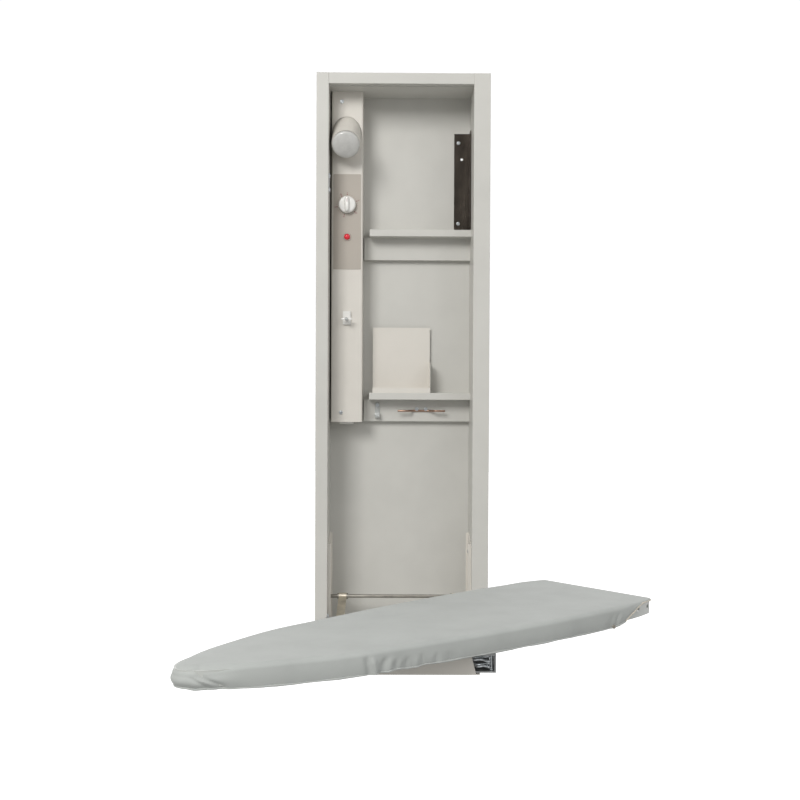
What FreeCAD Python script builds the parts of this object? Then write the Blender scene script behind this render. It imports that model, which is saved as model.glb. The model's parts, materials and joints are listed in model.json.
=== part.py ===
import FreeCAD, Part
import math
import os

# A built-in wall ironing centre: a shallow cabinet that is set into a wall, a control box,
# two shelves, and an ironing board that folds down on two straps and swivels on its arm.
#
# All functions below work in cabinet coordinates, in millimetres: x runs right and is 0 at the
# middle of the frame, y runs into the wall and is 0 at the frame's face, z runs up and is 0 at
# the frame's foot. save() moves each piece so that the part's own origin is the centre of the
# wall-screw pattern on the rear face of the back panel.

Vec = FreeCAD.Vector
AXIS_X = Vec(1, 0, 0)
AXIS_Y = Vec(0, 1, 0)
AXIS_Z = Vec(0, 0, 1)

# --- cabinet ---
FRAME_W = 394.0
FRAME_H = 1300.0
FRAME_T = 19.0
STILE_LEFT_W = 28.0
STILE_RIGHT_W = 37.4
RAIL_H = 25.0
FACE_EDGE_R = 1.5
HOUSING = 2.0
PANEL_T = 16.0
TOP_DROP = 2.0
DEPTH = 129.0
BACK_T = 6.0
LEFT = STILE_LEFT_W - FRAME_W / 2
RIGHT = FRAME_W / 2 - STILE_RIGHT_W
CENTRE = (LEFT + RIGHT) / 2
CEILING = FRAME_H - RAIL_H - TOP_DROP

# --- wall fixings and small hardware ---
WALL_SCREW_X = 140.0
WALL_SCREW_LOW = 60.0
WALL_SCREW_HIGH = 1130.0
WALL_SCREW_R = 3.0
STUD_SCREW_Y = 35.0
STUD_SCREW_LOW = 300.0
STUD_SCREW_HIGH = 1200.0
STUD_SCREW_R = 2.5
SHANK_R = 1.6
HEAD_R = 4.5
HEAD_H = 2.2
HOLE_PLAY = 0.05
HEAD_ROUND = HEAD_H * 0.55
SLOT_REACH = HEAD_R * 0.6
SLOT_HALF = 0.4
THROUGH = 1.0

# --- shelves, cleats, tray and rests ---
SHELF_FRONT = 75.0
SHELF_T = 16.0
SHELF_LEFT = -77.0
UPPER_SHELF_Z = 940.5
LOWER_SHELF_Z = 560.0
CLEAT_T = 16.0
CLEAT_H = 51.5
CLEAT_LEFT = -90.0
SHEET_T = 1.2

# --- door hinge leaves ---
HINGE_LEAF_T = 1.5
HINGE_LEAF_H = 46.0
HINGE_LEAF_W = 12.0
HINGE_LEAF_Y = 10.0
HINGE_SCREW_PITCH = 31.0
HINGE_SCREW_L = 12.0
HINGE_LEAF_Z = (50.0, 1052.0)
HINGE_LEAF_R = 3.0

# --- storage tray ---
TRAY_LEFT = -69.0
TRAY_RIGHT = 66.0
TRAY_TALL_H = 154.0
TRAY_SIDE_H = 71.0
TRAY_LIP_H = 12.0
TRAY_FRONT = 77.0
TRAY_BACK = 121.0

# --- hot-iron rest ---
REST_LEFT = 122.0
REST_SIDE_X = RIGHT - 1.0
REST_SEAT = 1.0
REST_PLAY = 0.2
REST_LOW = UPPER_SHELF_Z + SHELF_T - REST_SEAT
REST_HIGH = 1190.0
REST_FRONT = 82.0
REST_T = 1.6
REST_REAR = DEPTH - 0.4
REST_SCREW_EDGE = 22.0
REST_SCREW_IN = 10.0
REST_CORNER_R = 6.0

# --- cord cleat and clip ---
CORD_CLEAT_Z = 533.5
CORD_CLEAT_R = 2.4
CORD_CLEAT_X = 46.0
CORD_CLEAT_HALF = 56.0
CORD_CLEAT_FRONT = 95.0
CORD_CLEAT_SEAT = DEPTH - CLEAT_T - CORD_CLEAT_R
CORD_CLEAT_FLAT = 21.0
CORD_CLEAT_RAMP = 9.0
CORD_SCREW_HALF = 10.5
CORD_SCREW_L = 12.0
CLIP_X = -57.8
CLIP_Z = 547.0
CLIP_SCREW_L = 10.0
CLIP_T = 1.8
CLIP_W = 11.0
CLIP_LOOP_R = 8.0
CLIP_DROP = 23.0
CLIP_TAB_END = 6.0
CLIP_MOUTH_H = 20.0
CLIP_MOUTH_OUT = 12.0

# --- control box ---
BOX_LEFT = -165.5
BOX_RIGHT = -92.5
BOX_FRONT = 64.0
BOX_FLOOR = 508.0
BOX_BACK_Y = DEPTH - SHEET_T
BOX_EDGE_R = 4.0
BOX_X = (BOX_LEFT + BOX_RIGHT) / 2
EAR_HALF = 9.0
COVER_SCREW_L = 6.0
LABEL_T = 0.8
LABEL_CORNER_R = 2.0
LABEL_W = 64.0
LABEL_LOW = 862.0
LABEL_HIGH = 1082.0
COVER_SCREW_X = -142.0
COVER_SCREW_LOW = 530.0
COVER_SCREW_HIGH = 1249.6
KNOB_Z = 1011.0
KNOB_R = 20.3
KNOB_H = 19.0
STEM_R = 3.0
STEM_L = 18.0
STEM_CLEAR = 2.0
KNOB_GAP = 0.4
KNOB_TAPER = 1.5
SKIRT_H = KNOB_H * 0.55
GRIP_HALF = 4.0
GRIP_INSET = 3.0
TIMER_HALF = 21.0
TIMER_DEEP = 34.0
TIMER_CORNER_R = 4.0
PILOT_Z = 937.0
PILOT_R = 7.6
BEZEL_RIM = 1.8
BEZEL_H = 2.0
PILOT_SLEEVE_L = 9.0
PILOT_SLEEVE_R = PILOT_R + 0.15
PILOT_BORE_R = PILOT_R - 0.9
LENS_R = PILOT_R - 0.95
LENS_STAND = 0.6
SWITCH_Z = 746.0
SWITCH_BARREL_R = 7.0
SWITCH_PLATE_T = 5.5
SWITCH_PLATE_HALF = 9.0
SWITCH_PLATE_BELOW = 12.0
SWITCH_PLATE_ABOVE = 19.0
SWITCH_BARREL_L = 30.0
WING_HALF = 13.0
WING_HALF_H = 2.5
WING_SET = 8.0
WING_T = 3.0
PLUNGER_R = 4.0
PLUNGER_TIP = 33.0
PLUNGER_L = 36.0
OUTLET_Y = 96.0
OUTLET_HALF_X = 14.0
OUTLET_HALF_Y = 16.0
OUTLET_LIP = 3.0
OUTLET_DEEP = 24.0
OUTLET_LIP_H = 5.0
OUTLET_PLAY = 0.1
BLADE_X = 6.3
BLADE_HALF_T = 1.0
BLADE_NEAR = -7.0
BLADE_FAR = 1.0
EARTH_Y = 7.0
EARTH_R = 2.5
PIN_DEEP = 16.0
TERMINAL_HALF = 22.0
TERMINAL_HALF_H = 13.0
TERMINAL_T = 14.0
TERMINAL_Z = 573.0
POCKET_PITCH = 14.0
POCKET_R = 3.0
POCKET_L = 8.0
CABLE_Y = 96.0
CABLE_R = 8.0
BUSHING_WALL = 3.0
BUSHING_RIM = 6.0
BUSHING_TAIL = 6.0
BUSHING_COLLAR_H = 3.0

# --- lamp ---
LAMP_Z = 1174.5
LAMP_TILT = 33.0
LAMP_R = 33.0
LAMP_WALL = 1.6
LAMP_OUT = 60.0
LAMP_IN = 34.0
LAMP_GAP = 0.9
LAMP_SIDE = 1.5
SOCKET_WALL = 3.0
SOCKET_FLOOR = 2.0
SOCKET_L = 27.0
BULB_LIFT = 0.2
BULB_BASE_R = 13.0
BULB_BASE_L = 24.0
BULB_NECK_L = 6.0
BULB_MOUTH_R = 30.0
BULB_FACE_R = 31.75
BULB_RIM_L = 5.0
BULB_DOME_H = 9.0

# --- side channels ---
CHANNEL_T = 2.0
CHANNEL_LIP = 7.0
CHANNEL_FRONT = 21.0
CHANNEL_REAR = 101.0
CHANNEL_TOP_FRONT = 230.0
CHANNEL_TOP_REAR = 247.0
CHANNEL_SCREW_L = 12.0
CHANNEL_SCREWS = ((38, 205), (82, 205), (38, 50), (82, 50))

# --- fold mechanism ---
ROD_Y = 60.0
ROD_Z = 103.0
ROD_R = 4.0
COLLAR_WALL = 3.0
COLLAR_L = 3.0
STRAP_OFFSET = 131.3
STRAP_W = 18.0
STRAP_T = 4.5
PIN_Y = -110.0
PIN_Z = 76.0
PIN_R = 5.0
PIN_HEAD_T = 3.0
ROD_EYE_WALL = 3.6
PIN_EYE_WALL = 4.0
RUN_PLAY = 0.05
RAIL_INNER = 117.0
RAIL_OUTER = 160.0
RAIL_WALL = 2.5
RAIL_BEND_Y = -500.0
RAIL_END_Y = -640.0
RAIL_TOP_Z = 134.0
RAIL_FOOT_Z = 102.0
RAIL_NOSE_R = 14.0

# --- arm front ---
END_PLATE_T = 1.5
END_PLATE_FOOT = 98.5
END_PLATE_TOP_HALF = 116.8
END_PLATE_FOOT_HALF = 126.0
END_LIP_HALF = 132.5
END_LIP_DEPTH = 26.0
DECK_FRONT = -638.0
DECK_REAR = -528.0
DECK_OVERLAP = 18.0
DECK_RIB_H = 18.0
SPRING_R = 2.3
SPRING_RODS = ((112.0, 4.0, -634.0), (118.0, -5.0, -628.0), (126.5, 3.5, -622.0))
SPRING_POST_Y = -626.0
SPRING_POST_R = 3.2

# --- swivel ---
PLATE_T = 3.0
NUT_R = 10.5
NUT_H = 9.0
BOLT_TAIL = 14.0
BOLT_WASHER_R = 14.0
BOLT_WASHER_T = 2.0
BOLT_HEAD_H = 7.0
HAT_HALF_X = 82.0
HAT_HALF_Y = 95.0
HAT_FLANGE = 20.0

# --- board ---
PIVOT_Y = -584.0
BOARD_SWING = 48.7
HEEL_TO_PIVOT = 540.0
BOARD_TOP_Z = 175.0
SKIRT_Z = 140.0
COVER_T = 1.2
PAN_INSET = 2.0
PAN_TOP_Z = 169.5
PAN_RIM_Z = 145.0
PAN_HOLES = (16.0, 55.0)
PAN_HOLE_Z = 160.0
PAN_HOLE_R = 4.0
PAN_T = 1.2
PAD_INSET = 3.0
HEEL_CORNER_R = 9.0
HEEL_BARE = 58.0
PIVOT_R = 6.0
DECK_T = 2.5
DISC_R = 60.0
DISC_T = 2.0
GAP = 0.3
PLATE_BASE_Z = RAIL_TOP_Z + DECK_T + GAP + DISC_T + GAP
BOLT_HEAD_Z = PLATE_BASE_Z + PLATE_T + GAP

# Half-widths of the board, as distance from the heel and half-width at that distance.
BOARD_SIDE = [(0, 140), (60, 152), (140, 158), (290, 158), (460, 149), (640, 131), (745, 118),
              (850, 87), (930, 57), (980, 32)]
BOARD_LENGTH = 1000.0

ORIGIN = Vec(0, DEPTH + BACK_T, (WALL_SCREW_LOW + WALL_SCREW_HIGH) / 2)


# ---------------------------------------------------------------- helpers

def box(x0, x1, y0, y1, z0, z1):
    return Part.makeBox(x1 - x0, y1 - y0, z1 - z0, Vec(x0, y0, z0))


def rod(start, direction, radius, length):
    return Part.makeCylinder(radius, length, start, direction)


def fuse(first, *others):
    return first.fuse(list(others)).removeSplitter()


def cut(shape, *tools):
    return shape.cut(list(tools)) if tools else shape


def face_of(points):
    return Part.Face(Part.makePolygon(points + points[:1]))


def side_profile(points, x0, x1):
    """A polygon drawn in the y-z plane and extruded along x."""
    return face_of([Vec(x0, y, z) for y, z in points]).extrude(Vec(x1 - x0, 0, 0))


def edges_along(shape, direction, test):
    """Straight edges parallel to a direction whose middle point passes the test."""
    found = []
    for edge in shape.Edges:
        if len(edge.Vertexes) != 2:
            continue
        run = edge.Vertexes[1].Point.sub(edge.Vertexes[0].Point)
        if run.Length and abs(abs(run.normalize().dot(direction)) - 1) < 1e-6:
            if test(edge.CenterOfMass):
                found.append(edge)
    return found


def eased(shape, radius, direction, test):
    return shape.makeFillet(radius, edges_along(shape, direction, test))


def screw(head_base, direction, length):
    """A pan-head screw: direction points from the head into the work."""
    head = rod(head_base.sub(direction * HEAD_H), direction, HEAD_R, HEAD_H)
    rim = [e for e in head.Edges if (e.CenterOfMass.sub(head_base)).dot(direction) < -HEAD_H / 2
           and e.Closed]
    head = head.makeFillet(HEAD_ROUND, rim)
    shank = rod(head_base, direction, SHANK_R, length)
    slot_dir = AXIS_Z if abs(direction.z) < 0.5 else AXIS_Y
    across = direction.cross(slot_dir)
    slots = []
    for along, side in ((slot_dir, across), (across, slot_dir)):
        corner = head_base.sub(direction * (HEAD_H + 0.1)) - along * SLOT_REACH - side * SLOT_HALF
        length = along * SLOT_REACH * 2
        width = side * SLOT_HALF * 2
        wire = [corner, corner + length, corner + length + width, corner + width]
        slots.append(face_of(wire).extrude(direction * HEAD_ROUND))
    return cut(fuse(head, shank), *slots)


def screw_hole(head_base, direction, length):
    return rod(head_base, direction, SHANK_R + HOLE_PLAY, length + 0.5)


def group(shapes):
    return shapes[0] if len(shapes) == 1 else Part.makeCompound(shapes)


def save(node, shape):
    moved = shape.copy()
    moved.translate(ORIGIN * -1)
    moved.exportStep("parts/" + node + ".step")


# ---------------------------------------------------------------- cabinet

def panel_blank(x0):
    """A side panel's full shape; its front edge is let into the stile."""
    return box(x0, x0 + PANEL_T, FRAME_T - HOUSING, DEPTH, RAIL_H - PANEL_T, CEILING + PANEL_T)


def frame_stile(x0, x1, panel_x):
    stile = box(x0, x1, 0, FRAME_T, 0, FRAME_H)
    return cut(eased(stile, FACE_EDGE_R, AXIS_Z, lambda c: c.y < 1), panel_blank(panel_x))


def frame_rail(z0):
    rail = box(LEFT, RIGHT, 0, FRAME_T, z0, z0 + RAIL_H)
    return eased(rail, FACE_EDGE_R, AXIS_X, lambda c: c.y < 1)


def stud_holes(x0):
    return [rod(Vec(x0 - 1, STUD_SCREW_Y, z), AXIS_X, STUD_SCREW_R, PANEL_T + 2)
            for z in (STUD_SCREW_LOW, STUD_SCREW_HIGH)]


def side_panel(x0, inner_x, inward):
    tools = stud_holes(x0) + [screw_hole(p, inward * -1, CHANNEL_SCREW_L)
                              for p in channel_screw_points(inner_x, inward)]
    return cut(panel_blank(x0), *tools)


def top_panel():
    panel = box(LEFT, RIGHT, FRAME_T, DEPTH, CEILING, CEILING + PANEL_T)
    return cut(panel, rod(Vec(BOX_X, CABLE_Y, CEILING - 1), AXIS_Z, CABLE_R + BUSHING_WALL, PANEL_T + 2))


def bottom_panel():
    return box(LEFT, RIGHT, FRAME_T, DEPTH, RAIL_H - PANEL_T, RAIL_H)


def wall_screw_points():
    return [Vec(x, DEPTH - 5, z) for x in (-WALL_SCREW_X, WALL_SCREW_X)
            for z in (WALL_SCREW_LOW, WALL_SCREW_HIGH)]


def wall_screw_holes(extra=0.0):
    return [rod(p, AXIS_Y, WALL_SCREW_R + extra, BACK_T + 10) for p in wall_screw_points()]


def back_panel():
    panel = box(LEFT - PANEL_T, RIGHT + PANEL_T, DEPTH, DEPTH + BACK_T,
                RAIL_H - PANEL_T, CEILING + PANEL_T)
    return cut(panel, *wall_screw_holes())


def cable_bushing():
    foot_z = CEILING - BUSHING_TAIL
    height = PANEL_T + BUSHING_TAIL
    sleeve = rod(Vec(BOX_X, CABLE_Y, foot_z), AXIS_Z, CABLE_R + BUSHING_WALL, height)
    collar = rod(Vec(BOX_X, CABLE_Y, CEILING + PANEL_T), AXIS_Z, CABLE_R + BUSHING_RIM,
                 BUSHING_COLLAR_H)
    bore = rod(Vec(BOX_X, CABLE_Y, foot_z - 1), AXIS_Z, CABLE_R, height + BUSHING_COLLAR_H + 2)
    return cut(fuse(sleeve, collar), bore)


# ---------------------------------------------------------------- door hinge leaves

def hinge_screw_points():
    return [Vec(LEFT + HINGE_LEAF_T, HINGE_LEAF_Y, z + side * HINGE_SCREW_PITCH / 2)
            for z in HINGE_LEAF_Z for side in (-1, 1)]


def hinge_leaves():
    leaves = []
    for z in HINGE_LEAF_Z:
        leaf = box(LEFT, LEFT + HINGE_LEAF_T, HINGE_LEAF_Y - HINGE_LEAF_W / 2,
                   HINGE_LEAF_Y + HINGE_LEAF_W / 2,
                   z - HINGE_LEAF_H / 2, z + HINGE_LEAF_H / 2)
        leaf = eased(leaf, HINGE_LEAF_R, AXIS_X, lambda c: True)
        leaves.append(cut(leaf, *[screw_hole(p, AXIS_X * -1, 2) for p in hinge_screw_points()]))
    return group(leaves)


def hinge_screws():
    return group([screw(p, AXIS_X * -1, HINGE_SCREW_L) for p in hinge_screw_points()])


# ---------------------------------------------------------------- shelves and rests

def rest_seat():
    """The rebate at the back and right edges of the upper shelf that the rest stands in."""
    top = REST_LOW + REST_SEAT + THROUGH
    back = box(REST_LEFT - REST_PLAY, RIGHT + THROUGH, REST_REAR - REST_T - REST_PLAY,
               DEPTH + THROUGH, REST_LOW, top)
    side = box(REST_SIDE_X - REST_T - REST_PLAY, RIGHT + THROUGH, REST_FRONT - REST_PLAY,
               DEPTH + THROUGH, REST_LOW, top)
    return back, side


def shelf(z0):
    board = box(SHELF_LEFT, RIGHT, SHELF_FRONT, DEPTH, z0, z0 + SHELF_T)
    return eased(board, 1.0, AXIS_X, lambda c: c.y < SHELF_FRONT + 1)


def shelf_cleat(top_z):
    return box(CLEAT_LEFT, RIGHT, DEPTH - CLEAT_T, DEPTH, top_z - CLEAT_H, top_z)


def storage_tray():
    """A folded sheet tray: tall back, low front lip and one square end."""
    floor_z = LOWER_SHELF_Z + SHELF_T
    base = box(TRAY_LEFT, TRAY_RIGHT, TRAY_FRONT, TRAY_BACK, floor_z, floor_z + SHEET_T)
    tall = box(TRAY_LEFT, TRAY_RIGHT, TRAY_BACK - SHEET_T, TRAY_BACK, floor_z,
               floor_z + TRAY_TALL_H)
    lip = box(TRAY_LEFT, TRAY_RIGHT, TRAY_FRONT, TRAY_FRONT + SHEET_T, floor_z,
              floor_z + TRAY_LIP_H)
    end = box(TRAY_RIGHT - SHEET_T, TRAY_RIGHT, TRAY_FRONT, TRAY_BACK, floor_z,
              floor_z + TRAY_SIDE_H)
    end = eased(end, 2.0, AXIS_X, lambda c: c.y < TRAY_FRONT + 1 and c.z > floor_z + 20)
    return fuse(base, tall, lip, end)


def rest_screw_points():
    return [Vec(REST_LEFT + REST_SCREW_IN, REST_REAR - REST_T, z)
            for z in (REST_LOW + REST_SCREW_EDGE, REST_HIGH - REST_SCREW_EDGE)]


def iron_rest():
    """A bent heat shield for the hot iron: a back leaf and a deeper side leaf."""
    back_leaf = box(REST_LEFT, REST_SIDE_X, REST_REAR - REST_T, REST_REAR, REST_LOW, REST_HIGH)
    side_leaf = box(REST_SIDE_X - REST_T, REST_SIDE_X, REST_FRONT, REST_REAR, REST_LOW,
                    REST_HIGH)
    plate = fuse(back_leaf, side_leaf)
    plate = eased(plate, REST_CORNER_R, AXIS_X, lambda c: c.y < REST_FRONT + 1 and c.z > REST_HIGH - 1)
    holes = [screw_hole(p, AXIS_Y, 4) for p in rest_screw_points()] + wall_screw_holes(0.5)
    return cut(plate, *holes)


def iron_rest_screws():
    return group([screw(p, AXIS_Y, REST_T) for p in rest_screw_points()])


def cord_cleat():
    """A bent rod that the iron's lead is wound on: flat in the middle, prongs standing off."""
    bend = CORD_CLEAT_FLAT + CORD_CLEAT_RAMP
    points = [(-CORD_CLEAT_HALF, CORD_CLEAT_FRONT), (-bend, CORD_CLEAT_FRONT),
              (-CORD_CLEAT_FLAT, CORD_CLEAT_SEAT), (CORD_CLEAT_FLAT, CORD_CLEAT_SEAT),
              (bend, CORD_CLEAT_FRONT), (CORD_CLEAT_HALF, CORD_CLEAT_FRONT)]
    knots = [Vec(CORD_CLEAT_X + x, y, CORD_CLEAT_Z) for x, y in points]
    pieces = []
    for a, b in zip(knots, knots[1:]):
        pieces.append(rod(a, b.sub(a), CORD_CLEAT_R, b.sub(a).Length))
    for knot in knots:
        pieces.append(Part.makeSphere(CORD_CLEAT_R, knot))
    return fuse(*pieces)


def cord_screw_points():
    return [Vec(CORD_CLEAT_X + side * CORD_SCREW_HALF, DEPTH - CLEAT_T - 0.4,
                CORD_CLEAT_Z + CORD_CLEAT_R + SHANK_R + 0.2) for side in (-1, 1)]


def cord_cleat_screws():
    screws = []
    for p in cord_screw_points():
        base = p.sub(AXIS_Y * (2 * CORD_CLEAT_R - 0.2))
        screws.append(screw(base, AXIS_Y, CORD_SCREW_L))
    return group(screws)


def cleat_lower():
    tools = []
    for p in cord_screw_points():
        tools.append(screw_hole(p.sub(AXIS_Y * 5), AXIS_Y, CORD_SCREW_L + 2))
    clip = clip_screw_point()
    tools.append(screw_hole(clip.sub(AXIS_Y), AXIS_Y, CLIP_SCREW_L + 1))
    return cut(shelf_cleat(LOWER_SHELF_Z), *tools)


def clip_screw_point():
    return Vec(CLIP_X, DEPTH - CLEAT_T - CLIP_T, CLIP_Z)


def cord_clip():
    """A clear P-clip: a screwed tab with an open loop hanging under it."""
    seat = DEPTH - CLEAT_T
    loop_z = CLIP_Z - CLIP_DROP
    loop_y = seat - CLIP_LOOP_R
    tab = box(CLIP_X - CLIP_W / 2, CLIP_X + CLIP_W / 2, seat - CLIP_T, seat,
              loop_z + CLIP_TAB_END, CLIP_Z + CLIP_TAB_END)
    outer = rod(Vec(CLIP_X - CLIP_W / 2, loop_y, loop_z), AXIS_X, CLIP_LOOP_R, CLIP_W)
    inner = rod(Vec(CLIP_X - CLIP_W / 2 - 1, loop_y, loop_z), AXIS_X, CLIP_LOOP_R - CLIP_T,
                CLIP_W + 2)
    mouth = box(CLIP_X - CLIP_W, CLIP_X + CLIP_W, loop_y - CLIP_MOUTH_OUT, loop_y - 1, loop_z + 1,
                loop_z + CLIP_MOUTH_H)
    ring = cut(outer, inner, mouth)
    return cut(fuse(tab, ring), screw_hole(clip_screw_point(), AXIS_Y, 4), inner)


def cord_clip_screw():
    return screw(clip_screw_point(), AXIS_Y, CLIP_SCREW_L)


# ---------------------------------------------------------------- control box

def lamp_direction():
    tilt = math.radians(LAMP_TILT)
    return Vec(0, -math.cos(tilt), -math.sin(tilt))


def lamp_point(along):
    return Vec(BOX_X - LAMP_SIDE, BOX_FRONT, LAMP_Z) + lamp_direction() * along


def cover_screw_points():
    return [Vec(COVER_SCREW_X, BOX_FRONT, z) for z in (COVER_SCREW_LOW, COVER_SCREW_HIGH)]


def front_hole(z, radius):
    return rod(Vec(BOX_X, BOX_FRONT - 5, z), AXIS_Y, radius, 10)


def control_box_cover():
    """A folded sheet cover, open at the back."""
    shell = box(BOX_LEFT, BOX_RIGHT, BOX_FRONT, BOX_BACK_Y, BOX_FLOOR, CEILING)
    shell = eased(shell, BOX_EDGE_R, AXIS_Z, lambda c: c.y < BOX_FRONT + 1)
    room = box(BOX_LEFT + SHEET_T, BOX_RIGHT - SHEET_T, BOX_FRONT + SHEET_T, BOX_BACK_Y + 1,
               BOX_FLOOR + SHEET_T, CEILING - SHEET_T)
    room = eased(room, BOX_EDGE_R - SHEET_T, AXIS_Z, lambda c: c.y < BOX_FRONT + 2)
    lamp_hole = rod(lamp_point(-LAMP_IN), lamp_direction(), LAMP_R + LAMP_GAP, LAMP_OUT + LAMP_IN)
    outlet_hole = box(BOX_X - OUTLET_HALF_X, BOX_X + OUTLET_HALF_X, OUTLET_Y - OUTLET_HALF_Y,
                      OUTLET_Y + OUTLET_HALF_Y, BOX_FLOOR - 1, BOX_FLOOR + 3)
    cable_hole = rod(Vec(BOX_X, CABLE_Y, CEILING - 5), AXIS_Z, CABLE_R + BUSHING_WALL, 10)
    screws = [screw_hole(p - AXIS_Y, AXIS_Y, 4) for p in cover_screw_points()]
    return cut(shell, room, lamp_hole, outlet_hole, cable_hole, front_hole(KNOB_Z, STEM_R + STEM_CLEAR),
               front_hole(PILOT_Z, PILOT_R + 0.2), front_hole(SWITCH_Z, SWITCH_BARREL_R + 0.05),
               *screws)


def control_box_back():
    """The plate on the back panel, with two bent ears that the cover's screws go into."""
    plate = box(BOX_LEFT, BOX_RIGHT, BOX_BACK_Y, DEPTH, BOX_FLOOR, CEILING)
    ears = []
    ear_front = BOX_FRONT + SHEET_T
    for p in cover_screw_points():
        low, high = p.z - EAR_HALF, p.z + EAR_HALF
        left = p.x - EAR_HALF
        web = box(left, left + SHEET_T, ear_front, BOX_BACK_Y, low, high)
        flange = box(left, p.x + EAR_HALF, ear_front, ear_front + SHEET_T, low, high)
        ears += [web, flange]
    holes = wall_screw_holes(0.5) + [screw_hole(p, AXIS_Y, 5) for p in cover_screw_points()]
    return cut(fuse(plate, *ears), *holes)


def control_box_screws():
    return group([screw(p, AXIS_Y, COVER_SCREW_L) for p in cover_screw_points()])


def label_plate():
    plate = box(BOX_X - LABEL_W / 2, BOX_X + LABEL_W / 2, BOX_FRONT - LABEL_T, BOX_FRONT,
                LABEL_LOW, LABEL_HIGH)
    plate = eased(plate, LABEL_CORNER_R, AXIS_Y, lambda c: True)
    return cut(plate, front_hole(KNOB_Z, STEM_R + STEM_CLEAR), front_hole(PILOT_Z, PILOT_R + 0.2))


def timer_body():
    case = box(BOX_X - TIMER_HALF, BOX_X + TIMER_HALF, BOX_FRONT + SHEET_T,
               BOX_FRONT + TIMER_DEEP, KNOB_Z - TIMER_HALF, KNOB_Z + TIMER_HALF)
    case = eased(case, TIMER_CORNER_R, AXIS_Y, lambda c: True)
    bore = rod(Vec(BOX_X, BOX_FRONT, KNOB_Z), AXIS_Y, STEM_R + RUN_PLAY, 20)
    return cut(case, bore)


def timer_knob():
    base_y = BOX_FRONT - LABEL_T - KNOB_GAP
    skirt = Part.makeCone(KNOB_R - KNOB_TAPER, KNOB_R, SKIRT_H,
                          Vec(BOX_X, base_y - SKIRT_H, KNOB_Z), AXIS_Y)
    reach = KNOB_R - GRIP_INSET
    grip = box(BOX_X - GRIP_HALF, BOX_X + GRIP_HALF, base_y - KNOB_H, base_y - SKIRT_H + 1,
               KNOB_Z - reach, KNOB_Z + reach)
    grip = eased(grip, GRIP_HALF / 2, AXIS_Z, lambda c: c.y < base_y - KNOB_H + 1)
    stem = rod(Vec(BOX_X, base_y - 1, KNOB_Z), AXIS_Y, STEM_R, STEM_L)
    return fuse(skirt, grip, stem)


def pilot_bezel():
    seat = BOX_FRONT - LABEL_T
    ring = rod(Vec(BOX_X, seat - BEZEL_H, PILOT_Z), AXIS_Y, PILOT_R + BEZEL_RIM, BEZEL_H)
    sleeve = rod(Vec(BOX_X, seat - 1, PILOT_Z), AXIS_Y, PILOT_SLEEVE_R, PILOT_SLEEVE_L)
    bore = rod(Vec(BOX_X, seat - BEZEL_H - 1, PILOT_Z), AXIS_Y, PILOT_BORE_R, PILOT_SLEEVE_L * 2)
    return cut(fuse(ring, sleeve), bore)


def pilot_lens():
    front = BOX_FRONT - LABEL_T - BEZEL_H - LENS_STAND
    barrel = rod(Vec(BOX_X, front, PILOT_Z), AXIS_Y, LENS_R, PILOT_SLEEVE_L)
    dome = Part.makeSphere(LENS_R, Vec(BOX_X, front, PILOT_Z))
    return fuse(barrel, dome)


def switch_body():
    """A push switch: front plate, and a barrel inside the box that guides the plunger."""
    plate = box(BOX_X - SWITCH_PLATE_HALF, BOX_X + SWITCH_PLATE_HALF,
                BOX_FRONT - SWITCH_PLATE_T, BOX_FRONT,
                SWITCH_Z - SWITCH_PLATE_BELOW, SWITCH_Z + SWITCH_PLATE_ABOVE)
    plate = eased(plate, 1.5, AXIS_Y, lambda c: True)
    barrel = rod(Vec(BOX_X, BOX_FRONT - 1, SWITCH_Z), AXIS_Y, SWITCH_BARREL_R, SWITCH_BARREL_L)
    bore = rod(Vec(BOX_X, BOX_FRONT - 8, SWITCH_Z), AXIS_Y, PLUNGER_R + RUN_PLAY,
               SWITCH_BARREL_L + 4)
    return cut(fuse(plate, barrel), bore)


def switch_plunger():
    stem = rod(Vec(BOX_X, PLUNGER_TIP + PLUNGER_R, SWITCH_Z), AXIS_Y, PLUNGER_R, PLUNGER_L)
    tip = Part.makeSphere(PLUNGER_R, Vec(BOX_X, PLUNGER_TIP + PLUNGER_R, SWITCH_Z))
    wing_y = PLUNGER_TIP + WING_SET
    wing = box(BOX_X - WING_HALF, BOX_X + WING_HALF, wing_y, wing_y + WING_T,
               SWITCH_Z - WING_HALF_H, SWITCH_Z + WING_HALF_H)
    wing = eased(wing, 1.2, AXIS_Y, lambda c: True)
    return fuse(stem, tip, wing)


def outlet():
    """A three-pin receptacle that looks down out of the box's floor."""
    half_x = OUTLET_HALF_X - OUTLET_PLAY
    half_y = OUTLET_HALF_Y - OUTLET_PLAY
    body = box(BOX_X - half_x, BOX_X + half_x, OUTLET_Y - half_y, OUTLET_Y + half_y,
               BOX_FLOOR - OUTLET_LIP, BOX_FLOOR + OUTLET_DEEP)
    lip = box(BOX_X - OUTLET_HALF_X - OUTLET_LIP, BOX_X + OUTLET_HALF_X + OUTLET_LIP,
              OUTLET_Y - OUTLET_HALF_Y - OUTLET_LIP, OUTLET_Y + OUTLET_HALF_Y + OUTLET_LIP,
              BOX_FLOOR - OUTLET_LIP_H, BOX_FLOOR)
    lip = eased(lip, 2.0, AXIS_Z, lambda c: True)
    low = BOX_FLOOR - OUTLET_LIP_H - 1
    blades = [box(BOX_X + x - BLADE_HALF_T, BOX_X + x + BLADE_HALF_T, OUTLET_Y + BLADE_NEAR,
                  OUTLET_Y + BLADE_FAR, low, low + PIN_DEEP) for x in (-BLADE_X, BLADE_X)]
    earth = rod(Vec(BOX_X, OUTLET_Y + EARTH_Y, low), AXIS_Z, EARTH_R, PIN_DEEP)
    return cut(fuse(body, lip), earth, *blades)


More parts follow.
